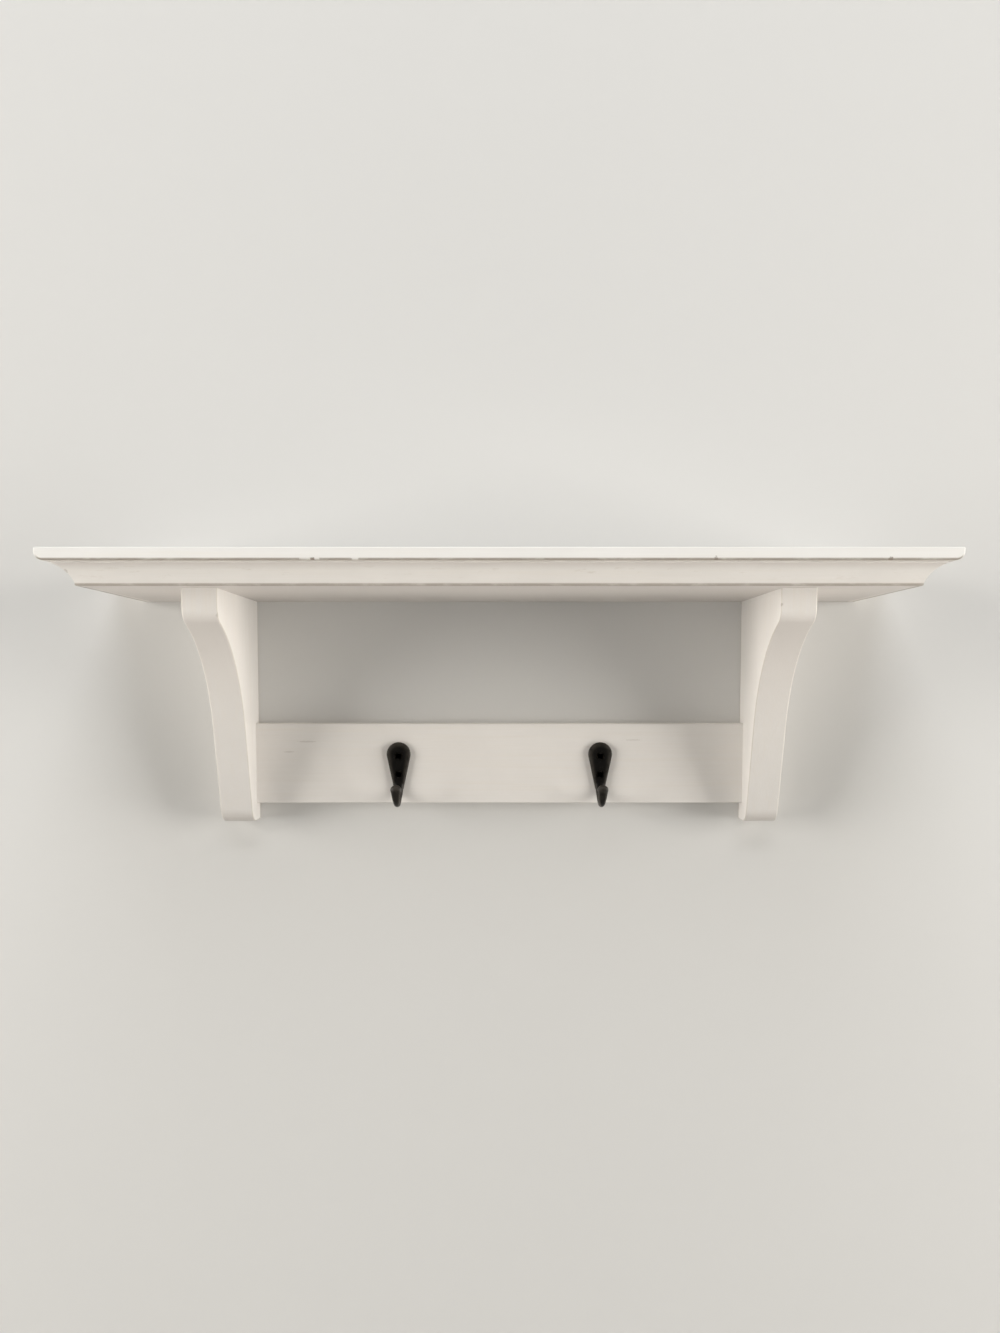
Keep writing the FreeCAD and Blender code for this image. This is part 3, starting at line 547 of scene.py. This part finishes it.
def rub_and_shade_share(finish, settings, patterns, arris, rub_and_shade):
    """How dark the arrises are painted: rubbed thin in patches, and all along by rub_and_shade, which is
    painted shade on the brackets.
    """
    patches = finish.fade(patterns.rubbed, 0.66 - 0.3 * settings.edge_wear, 0.7, rub_and_shade, 1.0)
    worn = finish.math("MULTIPLY", arris(finish), patches)
    return finish.math("MULTIPLY", worn, 0.35 + 0.5 * rub_and_shade)


def soil_and_shade_share(finish, settings, patterns, line, sound):
    """How strong the line of soil and painted shade is: uneven along its arris, and missing at the sound
    places.
    """
    uneven = finish.fade(patterns.rubbed, 0.3, 0.55, 0.6, 0.95)
    dull = finish.math("MULTIPLY", line(finish, settings.line_rise), uneven)
    if sound:
        whole = marks_at(finish, sound, patterns.ragged)
        dull = finish.math("MULTIPLY", dull, finish.math("SUBTRACT", 1.0, whole))
    return dull


def primed_wood(finish, settings, patterns):
    """The thinly primed wood of the back, with its grain."""
    lines = finish.fade(patterns.grain, 0.35, 0.75)
    return finish.mix(lines, settings.back_wood, scaled(settings.back_wood, BACK_LINE_TONE))


def paint_height(finish, patterns, bare):
    """The relief of brush marks, hairs, grain and tooth, with the chips sunk in it."""
    height = finish.math("MULTIPLY", patterns.brush, BRUSH_HEIGHT)
    height = finish.math("MULTIPLY_ADD", patterns.hair, HAIR_HEIGHT, height)
    height = finish.math("MULTIPLY_ADD", patterns.grain, GRAIN_HEIGHT, height)
    height = finish.math("MULTIPLY_ADD", patterns.tooth, TOOTH_HEIGHT, height)
    return finish.math("SUBTRACT", height, finish.math("MULTIPLY", bare, CHIP_DEPTH))


def painted_wood(settings, name, axis, coat=None, arris=eased_arris, rub_and_shade=0.0, shade_down_from=0.7,
                 shade_from=None, line=None, sound=(), chips=()):
    """Brushed off-white paint on wood whose grain runs along one axis.

    coat is the paint's colour where it isn't the usual one. arris finds the edges that are
    darkened, rubbed thin in patches, and rub_and_shade is how far they are darkened all along,
    which on the brackets is painted shade. A darker copy of the paint, painted shade, starts on
    faces that look down by shade_down_from, and painted shade darkens the paint towards the wall
    from shade_from. line draws the dark line of a lower arris, part soil and part painted shade,
    which skips the sound places. chips are bare spots.
    """
    paint = coat or settings.paint
    finish = Finish(name, paint)
    patterns = PaintPatterns(finish, settings, axis)
    along = finish.parts(finish.place)[1]

    colour = brushed_coat(finish, patterns, paint)
    # Painted shade: faces that look down take a darker copy of the paint.
    down = finish.math("MULTIPLY", finish.parts(finish.normal())[2], -1.0)
    colour = finish.mix(finish.fade(down, shade_down_from, 0.95), colour, settings.downward_shade_paint)
    # Arrises are darkened where rubbed thin; on the brackets the darkening all along is also painted shade
    # over the lamps' highlight.
    rubbed = rub_and_shade_share(finish, settings, patterns, arris, rub_and_shade)
    colour = finish.mix(rubbed, colour, settings.thin_and_shaded_paint)
    # Painted shade: the paint darkens towards the wall, where less light reaches.
    if shade_from:
        tone = finish.fade(along, shade_from, DARKEST_SHADE_PLACE, 1.0, settings.wall_shade_tone)
        colour = finish.vector("MULTIPLY", colour, tone)
    # The dark line along a lower arris is part soil and part painted shade.
    if line:
        soil_and_shade = soil_and_shade_share(finish, settings, patterns, line, sound)
        colour = finish.mix(soil_and_shade, colour, settings.soil_and_shade)
    bare = 0.0
    if chips:
        bare = marks_at(finish, chips, patterns.ragged)
        colour = finish.mix(bare, colour, settings.bare_wood)
    back = finish.fade(along, BACK_START, BACK_WHOLE, 0.0, BACK_SHARE)
    colour = finish.mix(back, colour, primed_wood(finish, settings, patterns))

    rough = finish.fade(
        patterns.brush, 0.3, 0.7, settings.roughness - 0.06, settings.roughness + 0.08)
    rougher = finish.math("MULTIPLY", finish.most(bare, back), 0.3)
    rough = finish.math("ADD", rough, rougher, clamp=True)
    finish.set(Base_Color=colour, Roughness=rough, Specular_IOR_Level=PAINT_SHINE)
    finish.relief(paint_height(finish, patterns, bare), settings.brush_depth * 2)
    return finish.material


# A hook's plate is this thick, and loses this share of its drop from each half of its width.
PLATE_THICKNESS = 3.0 * MM
PLATE_TAPER = 0.21
# The plate's wear starts and is whole at these shares of the way from its middle to its rim.
RIM_START = 0.45
RIM_WHOLE = 0.95
# The arm's painted light starts and is whole this far in front of the plate.
ARM_START = 1.0 * MM
ARM_WHOLE = 3.0 * MM
# Over the hook's lowest point the bend takes this share of the painted light up to here, and the tip all of
# it from here.
BEND_WEAR = 0.35
BEND_TOP = 11.0 * MM
TIP_BASE = 17.0 * MM


def hook_wear_and_painted_light(finish):
    """How much lighter a hook is painted: 0 round its screws, rising to 1 at the plate's rubbed rim and, as
    painted light, on the arm's tip.
    """
    low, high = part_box("right_hook")
    head = (high[0] - low[0]) / 2
    across, along, height = finish.parts(finish.place)
    middle = high[0] - head
    aside = finish.math("ABSOLUTE", finish.math("SUBTRACT", finish.math("ABSOLUTE", across), middle))
    above = finish.math("SUBTRACT", height, high[2] - head)
    raised = finish.math("MAXIMUM", above, 0.0)
    square = finish.math("MULTIPLY_ADD", aside, aside, finish.math("MULTIPLY", raised, raised))
    half_width = finish.math("MULTIPLY_ADD", finish.math("MINIMUM", above, 0.0), PLATE_TAPER, head)
    outward = finish.math("DIVIDE", finish.math("SQRT", square), half_width)
    rim = finish.fade(outward, RIM_START, RIM_WHOLE)
    plate_face = high[1] - PLATE_THICKNESS
    arm = finish.fade(along, plate_face - ARM_START, plate_face - ARM_WHOLE)
    tip = finish.fade(height, low[2] + BEND_TOP, low[2] + TIP_BASE, BEND_WEAR, 1.0)
    return finish.most(rim, finish.math("MULTIPLY", arm, tip))


# The size of the casting's lumps, the size of its pits beside its grain, and the relief of both.
LUMP_SIZE = 4.5 * MM
PIT_SHARE = 0.55
CAST_DEPTH = 0.12 * MM


def cast_iron(settings):
    """Black cast iron: a grainy skin, rubbed a little lighter on its rims and high spots, with its arm and
    tip painted lighter as painted light.
    """
    finish = Finish("black_cast_iron", settings.iron)
    grain = finish.noise(even(settings.cast_grain), detail=5.0, roughness=0.62)
    lump = finish.noise(even(LUMP_SIZE), detail=2.0)
    pits = finish.cells(even(PIT_SHARE * settings.cast_grain))["Distance"]
    spots = finish.math("MULTIPLY", finish.fade(grain, 0.5, 0.72), finish.fade(lump, 0.4, 0.7))
    # Painted light on the arm and tip, and rubbed wear on the rims.
    patchy = finish.math("MULTIPLY", hook_wear_and_painted_light(finish), finish.fade(lump, 0.25, 0.6, 0.45, 1.0))
    rubbed = finish.most(finish.math("MULTIPLY", spots, 0.5), patchy)
    dull, smooth = settings.iron_roughness + 0.12, settings.iron_roughness - 0.1
    finish.set(
        Base_Color=finish.mix(rubbed, settings.iron, settings.rubbed_and_lit_iron),
        Roughness=finish.fade(grain, 0.3, 0.7, dull, smooth),
        Specular_IOR_Level=finish.fade(rubbed, 0.0, 1.0, settings.iron_shine, settings.rubbed_shine))
    height = finish.math("MULTIPLY_ADD", lump, 1.6, grain)
    height = finish.math("MULTIPLY_ADD", finish.fade(pits, 0.0, 0.5), 0.3, height)
    finish.relief(height, CAST_DEPTH)
    return finish.material


def black_steel(settings):
    """Black coated steel screws, a little smoother than the iron."""
    finish = Finish("black_steel", settings.screw_black)
    scuff_size, scuff_depth = 0.9 * MM, 0.02 * MM
    scuff = finish.noise(even(scuff_size), detail=3.0, roughness=0.6)
    finish.set(
        Base_Color=finish.mix(finish.fade(scuff, 0.55, 0.75), settings.screw_black, settings.rubbed_and_lit_iron),
        Roughness=finish.fade(scuff, 0.3, 0.7, 0.3, 0.46),
        Specular_IOR_Level=0.5 * settings.iron_shine)
    finish.relief(scuff, scuff_depth)
    return finish.material


def zinc_plate(settings, name):
    """Bright zinc: small spangles with a faint brushed line, and duller patches."""
    finish = Finish(name, settings.zinc)
    spangle_size, patch_size = 1.6 * MM, 6 * MM
    line_width, line_length, line_depth = 0.12 * MM, 9 * MM, 0.015 * MM
    spangle = finish.parts(finish.cells(even(spangle_size))["Color"])[0]
    lines = finish.noise(along_grain("Z", line_length, line_width), detail=2.0)
    dull = finish.noise(even(patch_size), detail=3.0)
    grey = finish.fade(spangle, 0.0, 1.0, 0.0, 0.5)
    colour = finish.mix(grey, settings.zinc, scaled(settings.zinc, 0.8))
    warm = tinted(settings.zinc, (0.98, 0.93, 0.8))
    colour = finish.mix(finish.fade(dull, 0.5, 0.75, 0.0, 0.6), colour, warm)
    rough = finish.math("MULTIPLY_ADD", spangle, 0.1, finish.fade(dull, 0.3, 0.7, 0.26, 0.4))
    finish.set(Base_Color=colour, Metallic=1.0, Roughness=rough)
    finish.relief(lines, line_depth)
    return finish.material


def drawn_steel(settings):
    """Plain steel wire with fine draw marks."""
    finish = Finish("bright_steel", settings.steel)
    mark_size, mark_depth = 0.3 * MM, 0.01 * MM
    marks = finish.noise(even(mark_size), detail=3.0)
    finish.set(
        Base_Color=finish.mix(finish.fade(marks, 0.4, 0.7), settings.steel, scaled(settings.steel, 0.72)),
        Metallic=1.0,
        Roughness=finish.fade(marks, 0.3, 0.7, 0.28, 0.42))
    finish.relief(marks, mark_depth)
    return finish.material


def bare_beech(settings):
    """Bare beech with short dark flecks along the dowel."""
    finish = Finish("beech", settings.beech)
    fleck_length, fleck_width, fleck_depth = 2.4 * MM, 0.28 * MM, 0.05 * MM
    band_length, band_width = 30 * MM, 1.4 * MM
    fleck = finish.noise(along_grain("X", fleck_length, fleck_width), detail=2.0)
    band = finish.noise(along_grain("X", band_length, band_width), detail=3.0)
    streak = finish.fade(band, 0.35, 0.7, 0.0, 0.45)
    colour = finish.mix(streak, settings.beech, scaled(settings.beech, 0.78))
    finish.set(
        Base_Color=finish.mix(finish.fade(fleck, 0.6, 0.7, 0.0, 0.8), colour, settings.beech_dark),
        Roughness=finish.fade(band, 0.3, 0.7, 0.62, 0.74),
        Specular_IOR_Level=0.3)
    finish.relief(fleck, fleck_depth)
    return finish.material


def give_finish(names, material):
    """Put one material on some of the packed pieces."""
    for name in names:
        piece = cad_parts[name]
        piece.data.materials.clear()
        piece.data.materials.append(material)


# Points closer than this are one, and edges that turn by more than this angle are sharp.
MERGE_DISTANCE = 0.001 * MM
SHARP_ANGLE = math.radians(32)


def new_piece(name, shape, material, stands_for):
    """Turn a bmesh into a piece that takes the place of a packed one."""
    bmesh.ops.remove_doubles(shape, verts=shape.verts, dist=MERGE_DISTANCE)
    bmesh.ops.recalc_face_normals(shape, faces=shape.faces)
    mesh = bpy.data.meshes.new(name)
    shape.to_mesh(mesh)
    shape.free()
    mesh.shade_smooth()
    mesh.set_sharp_from_angle(angle=SHARP_ANGLE)
    mesh.materials.append(material)
    piece = bpy.data.objects.new(name, mesh)
    bpy.context.scene.collection.objects.link(piece)
    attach(piece, "root")
    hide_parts(stands_for)


# Each screw is turned from this many flats, and its thread takes this many rings a turn.
SCREW_FLATS = 24
THREAD_RINGS = 8
# How steeply the thread's flanks rise, beside flanks that would meet in the groove.
FLANK_STEEPNESS = 1.5
# The edge of a head is bevelled by this much.
RIM_BEVEL = 0.15 * MM
# The last ring before the point closes, as a share of the shank.
POINT_SHARE = 0.02
# The recess sinks in two steps: the share of its depth, and what is left of its width.
RECESS_STEPS = ((0.6, 0.86), (0.4, 0.45))


def of_kind(geometry, kind):
    """The vertices, edges or faces among some geometry."""
    return [part for part in geometry if isinstance(part, kind)]


def thread_rise(turns):
    """How far the thread stands up, from 0 in the groove to 1 on the crest."""
    return max(0.0, 1.0 - FLANK_STEEPNESS * abs(2.0 * (turns % 1.0) - 1.0))


def next_ring(shape, ring, depth, radius, crest=None, turns=0.0):
    """Extrude a ring of edges to a new depth, round or with a thread that stands up to its crest."""
    grown = bmesh.ops.extrude_edge_only(shape, edges=ring)["geom"]
    for vert in of_kind(grown, bmesh.types.BMVert):
        angle = math.atan2(vert.co.y, vert.co.x)
        reach = radius
        if crest:
            reach += (crest - radius) * thread_rise(turns + angle / math.tau)
        vert.co = (reach * math.cos(angle), reach * math.sin(angle), -depth)
    return of_kind(grown, bmesh.types.BMEdge)


def turn_screw(shape, head, length, metal):
    """Turn a countersunk screw downwards from its head at height zero, and return the head's rim."""
    shank = head * metal.shank_share
    core = shank * metal.core_share
    pitch = 2.0 * shank * metal.thread_pitch
    thread_start = length * (1.0 - metal.thread_share)
    point_length = 2.0 * shank
    step = pitch / THREAD_RINGS

    bmesh.ops.create_circle(shape, segments=SCREW_FLATS, radius=head - RIM_BEVEL)
    rim = shape.edges[:]
    ring = next_ring(shape, rim, RIM_BEVEL, head)
    ring = next_ring(shape, ring, RIM_BEVEL + head - shank, shank)
    ring = next_ring(shape, ring, thread_start, shank)
    depth = thread_start
    while depth + step < length - 0.5 * step:
        depth += step
        taper = min(1.0, (length - depth) / point_length)
        grown = min(1.0, (depth - thread_start) / pitch)
        groove = shank + (core - shank) * grown
        ring = next_ring(shape, ring, depth, groove * taper, shank * taper, depth / pitch)
    last = next_ring(shape, ring, length, POINT_SHARE * shank)
    ends = list(dict.fromkeys(vert for edge in last for vert in edge.verts))
    bmesh.ops.pointmerge(shape, verts=ends, merge_co=(0.0, 0.0, -length))
    return rim


def cut_cross(shape, rim, head, metal):
    """Close the head with a flat face and sink a tapered cross recess in it."""
    reach = head * metal.recess_span
    slot = reach * metal.recess_slot
    grid = set(bmesh.ops.create_grid(shape, x_segments=3, y_segments=3, size=1.0)["verts"])
    for vert in grid:
        for axis in (0, 1):
            far = reach if abs(vert.co[axis]) > 0.5 else slot
            vert.co[axis] = math.copysign(far, vert.co[axis])
    border = [edge for edge in shape.edges if edge.is_boundary and grid.issuperset(edge.verts)]
    squares = [face for face in shape.faces if grid.issuperset(face.verts)]
    bmesh.ops.bridge_loops(shape, edges=rim + border)
    cross = []
    for square in squares:
        centre = square.calc_center_median()
        if min(abs(centre.x), abs(centre.y)) < slot:
            cross.append(square)
    depth = 2.0 * reach * metal.recess_depth
    for share, narrowing in RECESS_STEPS:
        grown = bmesh.ops.extrude_face_region(shape, geom=cross)["geom"]
        sunk = of_kind(grown, bmesh.types.BMVert)
        bmesh.ops.translate(shape, verts=sunk, vec=(0.0, 0.0, -depth * share))
        bmesh.ops.scale(shape, verts=sunk, vec=(narrowing, narrowing, 1.0))
        cross = of_kind(grown, bmesh.types.BMFace)


def make_screws(names, turn, metal, material):
    """Recessed screws in place of plain ones, each the size of the one that it stands for."""
    heading = Matrix.Rotation(turn, 3, "X")
    for name in names:
        low, high = (Vector(corner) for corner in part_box(name))
        span = high - low
        head, length = span.x / 2, max(span)
        shape = bmesh.new()
        rim = turn_screw(shape, head, length, metal)
        cut_cross(shape, rim, head, metal)
        bmesh.ops.rotate(shape, verts=shape.verts, cent=Vector(), matrix=heading)
        half_length = heading @ Vector((0.0, 0.0, length / 2))
        bmesh.ops.translate(shape, verts=shape.verts, vec=(low + high) / 2 + half_length)
        new_piece(name + "_cut", shape, material, name)


class ShelfOperator:
    """What the shelf's operators share."""

    bl_options = {"REGISTER", "UNDO"}


class WALLSHELF_OT_paint_boards(ShelfOperator, bpy.types.Operator):
    """Paint the top board and the board under it"""

    bl_idname = "wallshelf.paint_boards"
    bl_label = "Paint Boards"

    def execute(self, context):
        settings = context.scene.wallshelf_paint
        # Painted light: the top board takes the whiter copy of the paint.
        top = painted_wood(
            settings, "top_board_paint", "X", coat=settings.top_lit_paint, line=board_line,
            sound=BOARD_SOUND, chips=BOARD_CHIPS)
        # Painted shade: the under board's paint darkens towards the wall and on its underside.
        under = painted_wood(settings, "under_board_paint", "X", shade_from=UNDER_BOARD_SHADE_FROM)
        give_finish(["top_board"], top)
        give_finish(["under_board"], under)
        return {"FINISHED"}


class WALLSHELF_OT_paint_moulding(ShelfOperator, bpy.types.Operator):
    """Paint the three runs of cove moulding"""

    bl_idname = "wallshelf.paint_moulding"
    bl_label = "Paint Moulding"

    def execute(self, context):
        settings = context.scene.wallshelf_paint
        runs = (("front_moulding_paint", "X", ["front_cove_moulding"]), ("return_paint", "Y", RETURNS))
        for name, axis, pieces in runs:
            paint = painted_wood(settings, name, axis, line=lip_line, chips=MOULDING_CHIPS)
            give_finish(pieces, paint)
        return {"FINISHED"}


class WALLSHELF_OT_paint_brackets(ShelfOperator, bpy.types.Operator):
    """Paint the two sawn brackets"""

    bl_idname = "wallshelf.paint_brackets"
    bl_label = "Paint Brackets"

    def execute(self, context):
        # Painted shade: the brackets' arrises are darkened all along, their faces that look down from a
        # slight tilt, and their paint towards the wall.
        paint = painted_wood(
            context.scene.wallshelf_paint, "bracket_paint", "Z", arris=sawn_arris, rub_and_shade=0.8,
            shade_down_from=0.1, shade_from=BRACKET_SHADE_FROM, chips=BRACKET_CHIPS)
        give_finish(BRACKETS, paint)
        return {"FINISHED"}


class WALLSHELF_OT_paint_rail(ShelfOperator, bpy.types.Operator):
    """Paint the rail that carries the hooks"""

    bl_idname = "wallshelf.paint_rail"
    bl_label = "Paint Rail"

    def execute(self, context):
        settings = context.scene.wallshelf_paint
        # Painted shade: the rail's coat is darkened for the shade under the ledge.
        coat = scaled(settings.paint, settings.rail_shade_tone)
        paint = painted_wood(settings, "rail_paint", "X", coat=coat, chips=RAIL_SCUFFS)
        give_finish(["hook_rail"], paint)
        return {"FINISHED"}


class WALLSHELF_OT_blacken_hooks(ShelfOperator, bpy.types.Operator):
    """Give the hooks their black cast skin"""

    bl_idname = "wallshelf.blacken_hooks"
    bl_label = "Blacken Hooks"

    def execute(self, context):
        give_finish(HOOKS, cast_iron(context.scene.wallshelf_metal))
        return {"FINISHED"}


class WALLSHELF_OT_make_screws(ShelfOperator, bpy.types.Operator):
    """Make the screws of the hooks, the keyhole plates and the brackets"""

    bl_idname = "wallshelf.make_screws"
    bl_label = "Make Screws"

    def execute(self, context):
        metal = context.scene.wallshelf_metal
        zinc = zinc_plate(metal, "zinc_screw")
        make_screws(HOOK_SCREWS, QUARTER_TURN, metal, black_steel(metal))
        make_screws(PLATE_SCREWS, -QUARTER_TURN, metal, zinc)
        make_screws(BRACKET_SCREWS, 0.0, metal, zinc)
        return {"FINISHED"}


class WALLSHELF_OT_finish_hardware(ShelfOperator, bpy.types.Operator):
    """Finish the keyhole plates, dowels and pins"""

    bl_idname = "wallshelf.finish_hardware"
    bl_label = "Finish Hardware"

    def execute(self, context):
        metal = context.scene.wallshelf_metal
        give_finish(KEYHOLE_PLATES, zinc_plate(metal, "zinc_steel"))
        give_finish(PINS, drawn_steel(metal))
        give_finish(RAIL_DOWELS, bare_beech(context.scene.wallshelf_wood))
        return {"FINISHED"}


# The wall is this far behind the shelf's back, and lets light through to places closer than this.
WALL_GAP = 0.4 * MM
NEAR_WALL = 2.5 * MM
# The widths of the wall and the floor.
WALL_SIZE = 8.0
FLOOR_SIZE = 12.0
# The size of the clouds in the stage's paint, and how much of its colour the floor shows in shade.
STAGE_CLOUD = 0.5
FLOOR_GLOW = 0.7
# The width of each lamp, its distance from the shelf, and the place that it is aimed at.
LAMP_SIZE = 1.4
LAMP_DISTANCE = 2.6
LAMP_AIM = Vector((0.0, -0.05, -0.03))
# The width of the camera's picture in millimetres, and the nearest place that it sees.
SENSOR_WIDTH = 36.0
NEAREST_SEEN = 0.01


def stage_sheet(name, size, turn, place, material):
    """A flat sheet of the stage."""
    shape = bmesh.new()
    bmesh.ops.create_grid(shape, x_segments=1, y_segments=1, size=size / 2)
    bmesh.ops.rotate(shape, verts=shape.verts, cent=Vector(), matrix=Matrix.Rotation(turn, 3, "X"))
    bmesh.ops.translate(shape, verts=shape.verts, vec=Vector(place))
    mesh = bpy.data.meshes.new(name)
    shape.to_mesh(mesh)
    shape.free()
    mesh.materials.append(material)
    sheet = bpy.data.objects.new(name, mesh)
    bpy.context.scene.collection.objects.link(sheet)


def matt_paint(name, colour):
    """Plain matt paint with faint clouds in it."""
    finish = Finish(name, colour)
    cloud = finish.noise(even(STAGE_CLOUD), detail=2.0)
    finish.set(
        Base_Color=finish.mix(cloud, scaled(colour, 0.985), scaled(colour, 1.015)),
        Roughness=0.9, Specular_IOR_Level=0.1)
    return finish


def wall_paint(colour):
    """The wall's paint, which is clear from behind and open to lamp light and to light from close by."""
    finish = matt_paint("wall_paint", colour)
    ray = finish.add("ShaderNodeLightPath").outputs
    behind = finish.add("ShaderNodeNewGeometry").outputs["Backfacing"]
    close = finish.math("LESS_THAN", ray["Ray Length"], NEAR_WALL)
    unseen = finish.math("SUBTRACT", 1.0, ray["Is Camera Ray"])
    clear = finish.most(behind, ray["Is Shadow Ray"], finish.math("MULTIPLY", close, unseen))
    finish.blend(clear, finish.add("ShaderNodeBsdfTransparent"))
    return finish.material


def floor_paint(colour):
    """The floor's paint, which stays pale to the camera and still takes a shadow."""
    finish = matt_paint("floor_paint", colour)
    seen = finish.add("ShaderNodeLightPath").outputs["Is Camera Ray"]
    glow = finish.add("ShaderNodeEmission")
    finish.feed(glow.inputs["Color"], colour)
    finish.blend(finish.math("MULTIPLY", seen, FLOOR_GLOW), glow)
    return finish.material


def even_sky(colour, level):
    """Even white light, with the wall's colour where the camera or a polished surface sees it."""
    world = bpy.data.worlds.new("even_sky")
    world.use_nodes = True
    nodes = world.node_tree.nodes
    link = world.node_tree.links.new
    nodes.clear()
    ray = nodes.new("ShaderNodeLightPath")
    seen = nodes.new("ShaderNodeMath")
    seen.operation = "MAXIMUM"
    link(ray.outputs["Is Camera Ray"], seen.inputs[0])
    link(ray.outputs["Is Glossy Ray"], seen.inputs[1])
    light = nodes.new("ShaderNodeBackground")
    light.inputs["Color"].default_value = (1.0, 1.0, 1.0, 1.0)
    light.inputs["Strength"].default_value = level
    view = nodes.new("ShaderNodeBackground")
    view.inputs["Color"].default_value = (*colour, 1.0)
    mixer = nodes.new("ShaderNodeMixShader")
    for socket, source in zip(mixer.inputs, (seen, light, view)):
        link(source.outputs[0], socket)
    output = nodes.new("ShaderNodeOutputWorld")
    link(mixer.outputs[0], output.inputs["Surface"])
    bpy.context.scene.world = world


def soft_lamp(name, turn, rise, level, colour, glints=True):
    """A square soft lamp aimed at the shelf, which glossy surfaces show where it has glints.

    Its level is the light on a surface that faces it.
    """
    lamp = bpy.data.lights.new(name, "AREA")
    lamp.shape = "SQUARE"
    lamp.size = LAMP_SIZE
    lamp.color = colour
    lamp.energy = level * math.pi * math.pi * LAMP_DISTANCE ** 2
    holder = bpy.data.objects.new(name, lamp)
    flat = math.cos(rise)
    away = Vector((math.sin(turn) * flat, -math.cos(turn) * flat, math.sin(rise)))
    holder.location = LAMP_AIM + away * LAMP_DISTANCE
    holder.rotation_euler = (-away).to_track_quat("-Z", "Y").to_euler()
    holder.visible_glossy = glints
    bpy.context.scene.collection.objects.link(holder)


def place_camera(stage):
    """The camera, which stands level with the shelf and looks down a little."""
    data = bpy.data.cameras.new("camera")
    data.lens = stage.lens
    data.sensor_width = SENSOR_WIDTH
    data.shift_y = stage.rise
    data.dof.use_dof = False
    data.clip_start = NEAREST_SEEN
    camera = bpy.data.objects.new("camera", data)
    camera.location = stage.camera_place
    camera.rotation_euler = (QUARTER_TURN - stage.camera_pitch, 0.0, 0.0)
    bpy.context.scene.collection.objects.link(camera)
    bpy.context.scene.camera = camera


class WALLSHELF_OT_set_stage(ShelfOperator, bpy.types.Operator):
    """Set the pale wall and floor, the lights and the camera"""

    bl_idname = "wallshelf.set_stage"
    bl_label = "Set Stage"

    def execute(self, context):
        stage = context.scene.wallshelf_stage
        context.scene.view_settings.view_transform = "Standard"
        wall_place = (0.0, WALL_GAP, stage.floor_height + WALL_SIZE / 2)
        stage_sheet("wall", WALL_SIZE, QUARTER_TURN, wall_place, wall_paint(stage.wall))
        floor_place = (0.0, 0.0, stage.floor_height)
        stage_sheet("floor", FLOOR_SIZE, 0.0, floor_place, floor_paint(stage.floor))
        even_sky(stage.wall, stage.sky)
        side = stage.side_colour
        soft_lamp("right_lamp", stage.side_turn, stage.right_rise, stage.right_level, side)
        soft_lamp("left_lamp", -stage.side_turn, stage.left_rise, stage.left_level, side)
        soft_lamp("high_lamp", 0.0, stage.top_rise, stage.top_level, stage.high_colour)
        soft_lamp("back_lamp", math.pi, stage.back_rise, stage.back_level, side, glints=False)
        place_camera(stage)
        return {"FINISHED"}


OPERATORS = (
    WALLSHELF_OT_paint_boards,
    WALLSHELF_OT_paint_moulding,
    WALLSHELF_OT_paint_brackets,
    WALLSHELF_OT_paint_rail,
    WALLSHELF_OT_blacken_hooks,
    WALLSHELF_OT_make_screws,
    WALLSHELF_OT_finish_hardware,
    WALLSHELF_OT_set_stage,
)
GROUPS = {
    "wallshelf_paint": PaintSettings,
    "wallshelf_metal": MetalSettings,
    "wallshelf_wood": WoodSettings,
    "wallshelf_stage": StageSettings,
}


class WALLSHELF_PT_finishes(bpy.types.Panel):
    """The shelf's colours and sizes, and a button for each step"""

    bl_idname = "WALLSHELF_PT_finishes"
    bl_label = "Wall Shelf"
    bl_space_type = "VIEW_3D"
    bl_region_type = "UI"
    bl_category = "Wall Shelf"

    def draw(self, context):
        layout = self.layout
        for name, group in GROUPS.items():
            settings = getattr(context.scene, name)
            box = layout.box()
            box.label(text=group.__doc__.strip())
            for prop in group.__annotations__:
                box.prop(settings, prop)
        for operator in OPERATORS:
            layout.operator(operator.bl_idname)


CLASSES = (*GROUPS.values(), *OPERATORS, WALLSHELF_PT_finishes)


def register():
    for cls in CLASSES:
        bpy.utils.register_class(cls)
    for name, group in GROUPS.items():
        setattr(bpy.types.Scene, name, bpy.props.PointerProperty(type=group))


def unregister():
    for name in GROUPS:
        delattr(bpy.types.Scene, name)
    for cls in reversed(CLASSES):
        bpy.utils.unregister_class(cls)


def main():
    """Dress the packed pieces and set the stage."""
    register()
    bpy.ops.wallshelf.paint_boards()
    bpy.ops.wallshelf.paint_moulding()
    bpy.ops.wallshelf.paint_brackets()
    bpy.ops.wallshelf.paint_rail()
    bpy.ops.wallshelf.blacken_hooks()
    bpy.ops.wallshelf.make_screws()
    bpy.ops.wallshelf.finish_hardware()
    bpy.ops.wallshelf.set_stage()


if __name__ == "__main__":
    main()
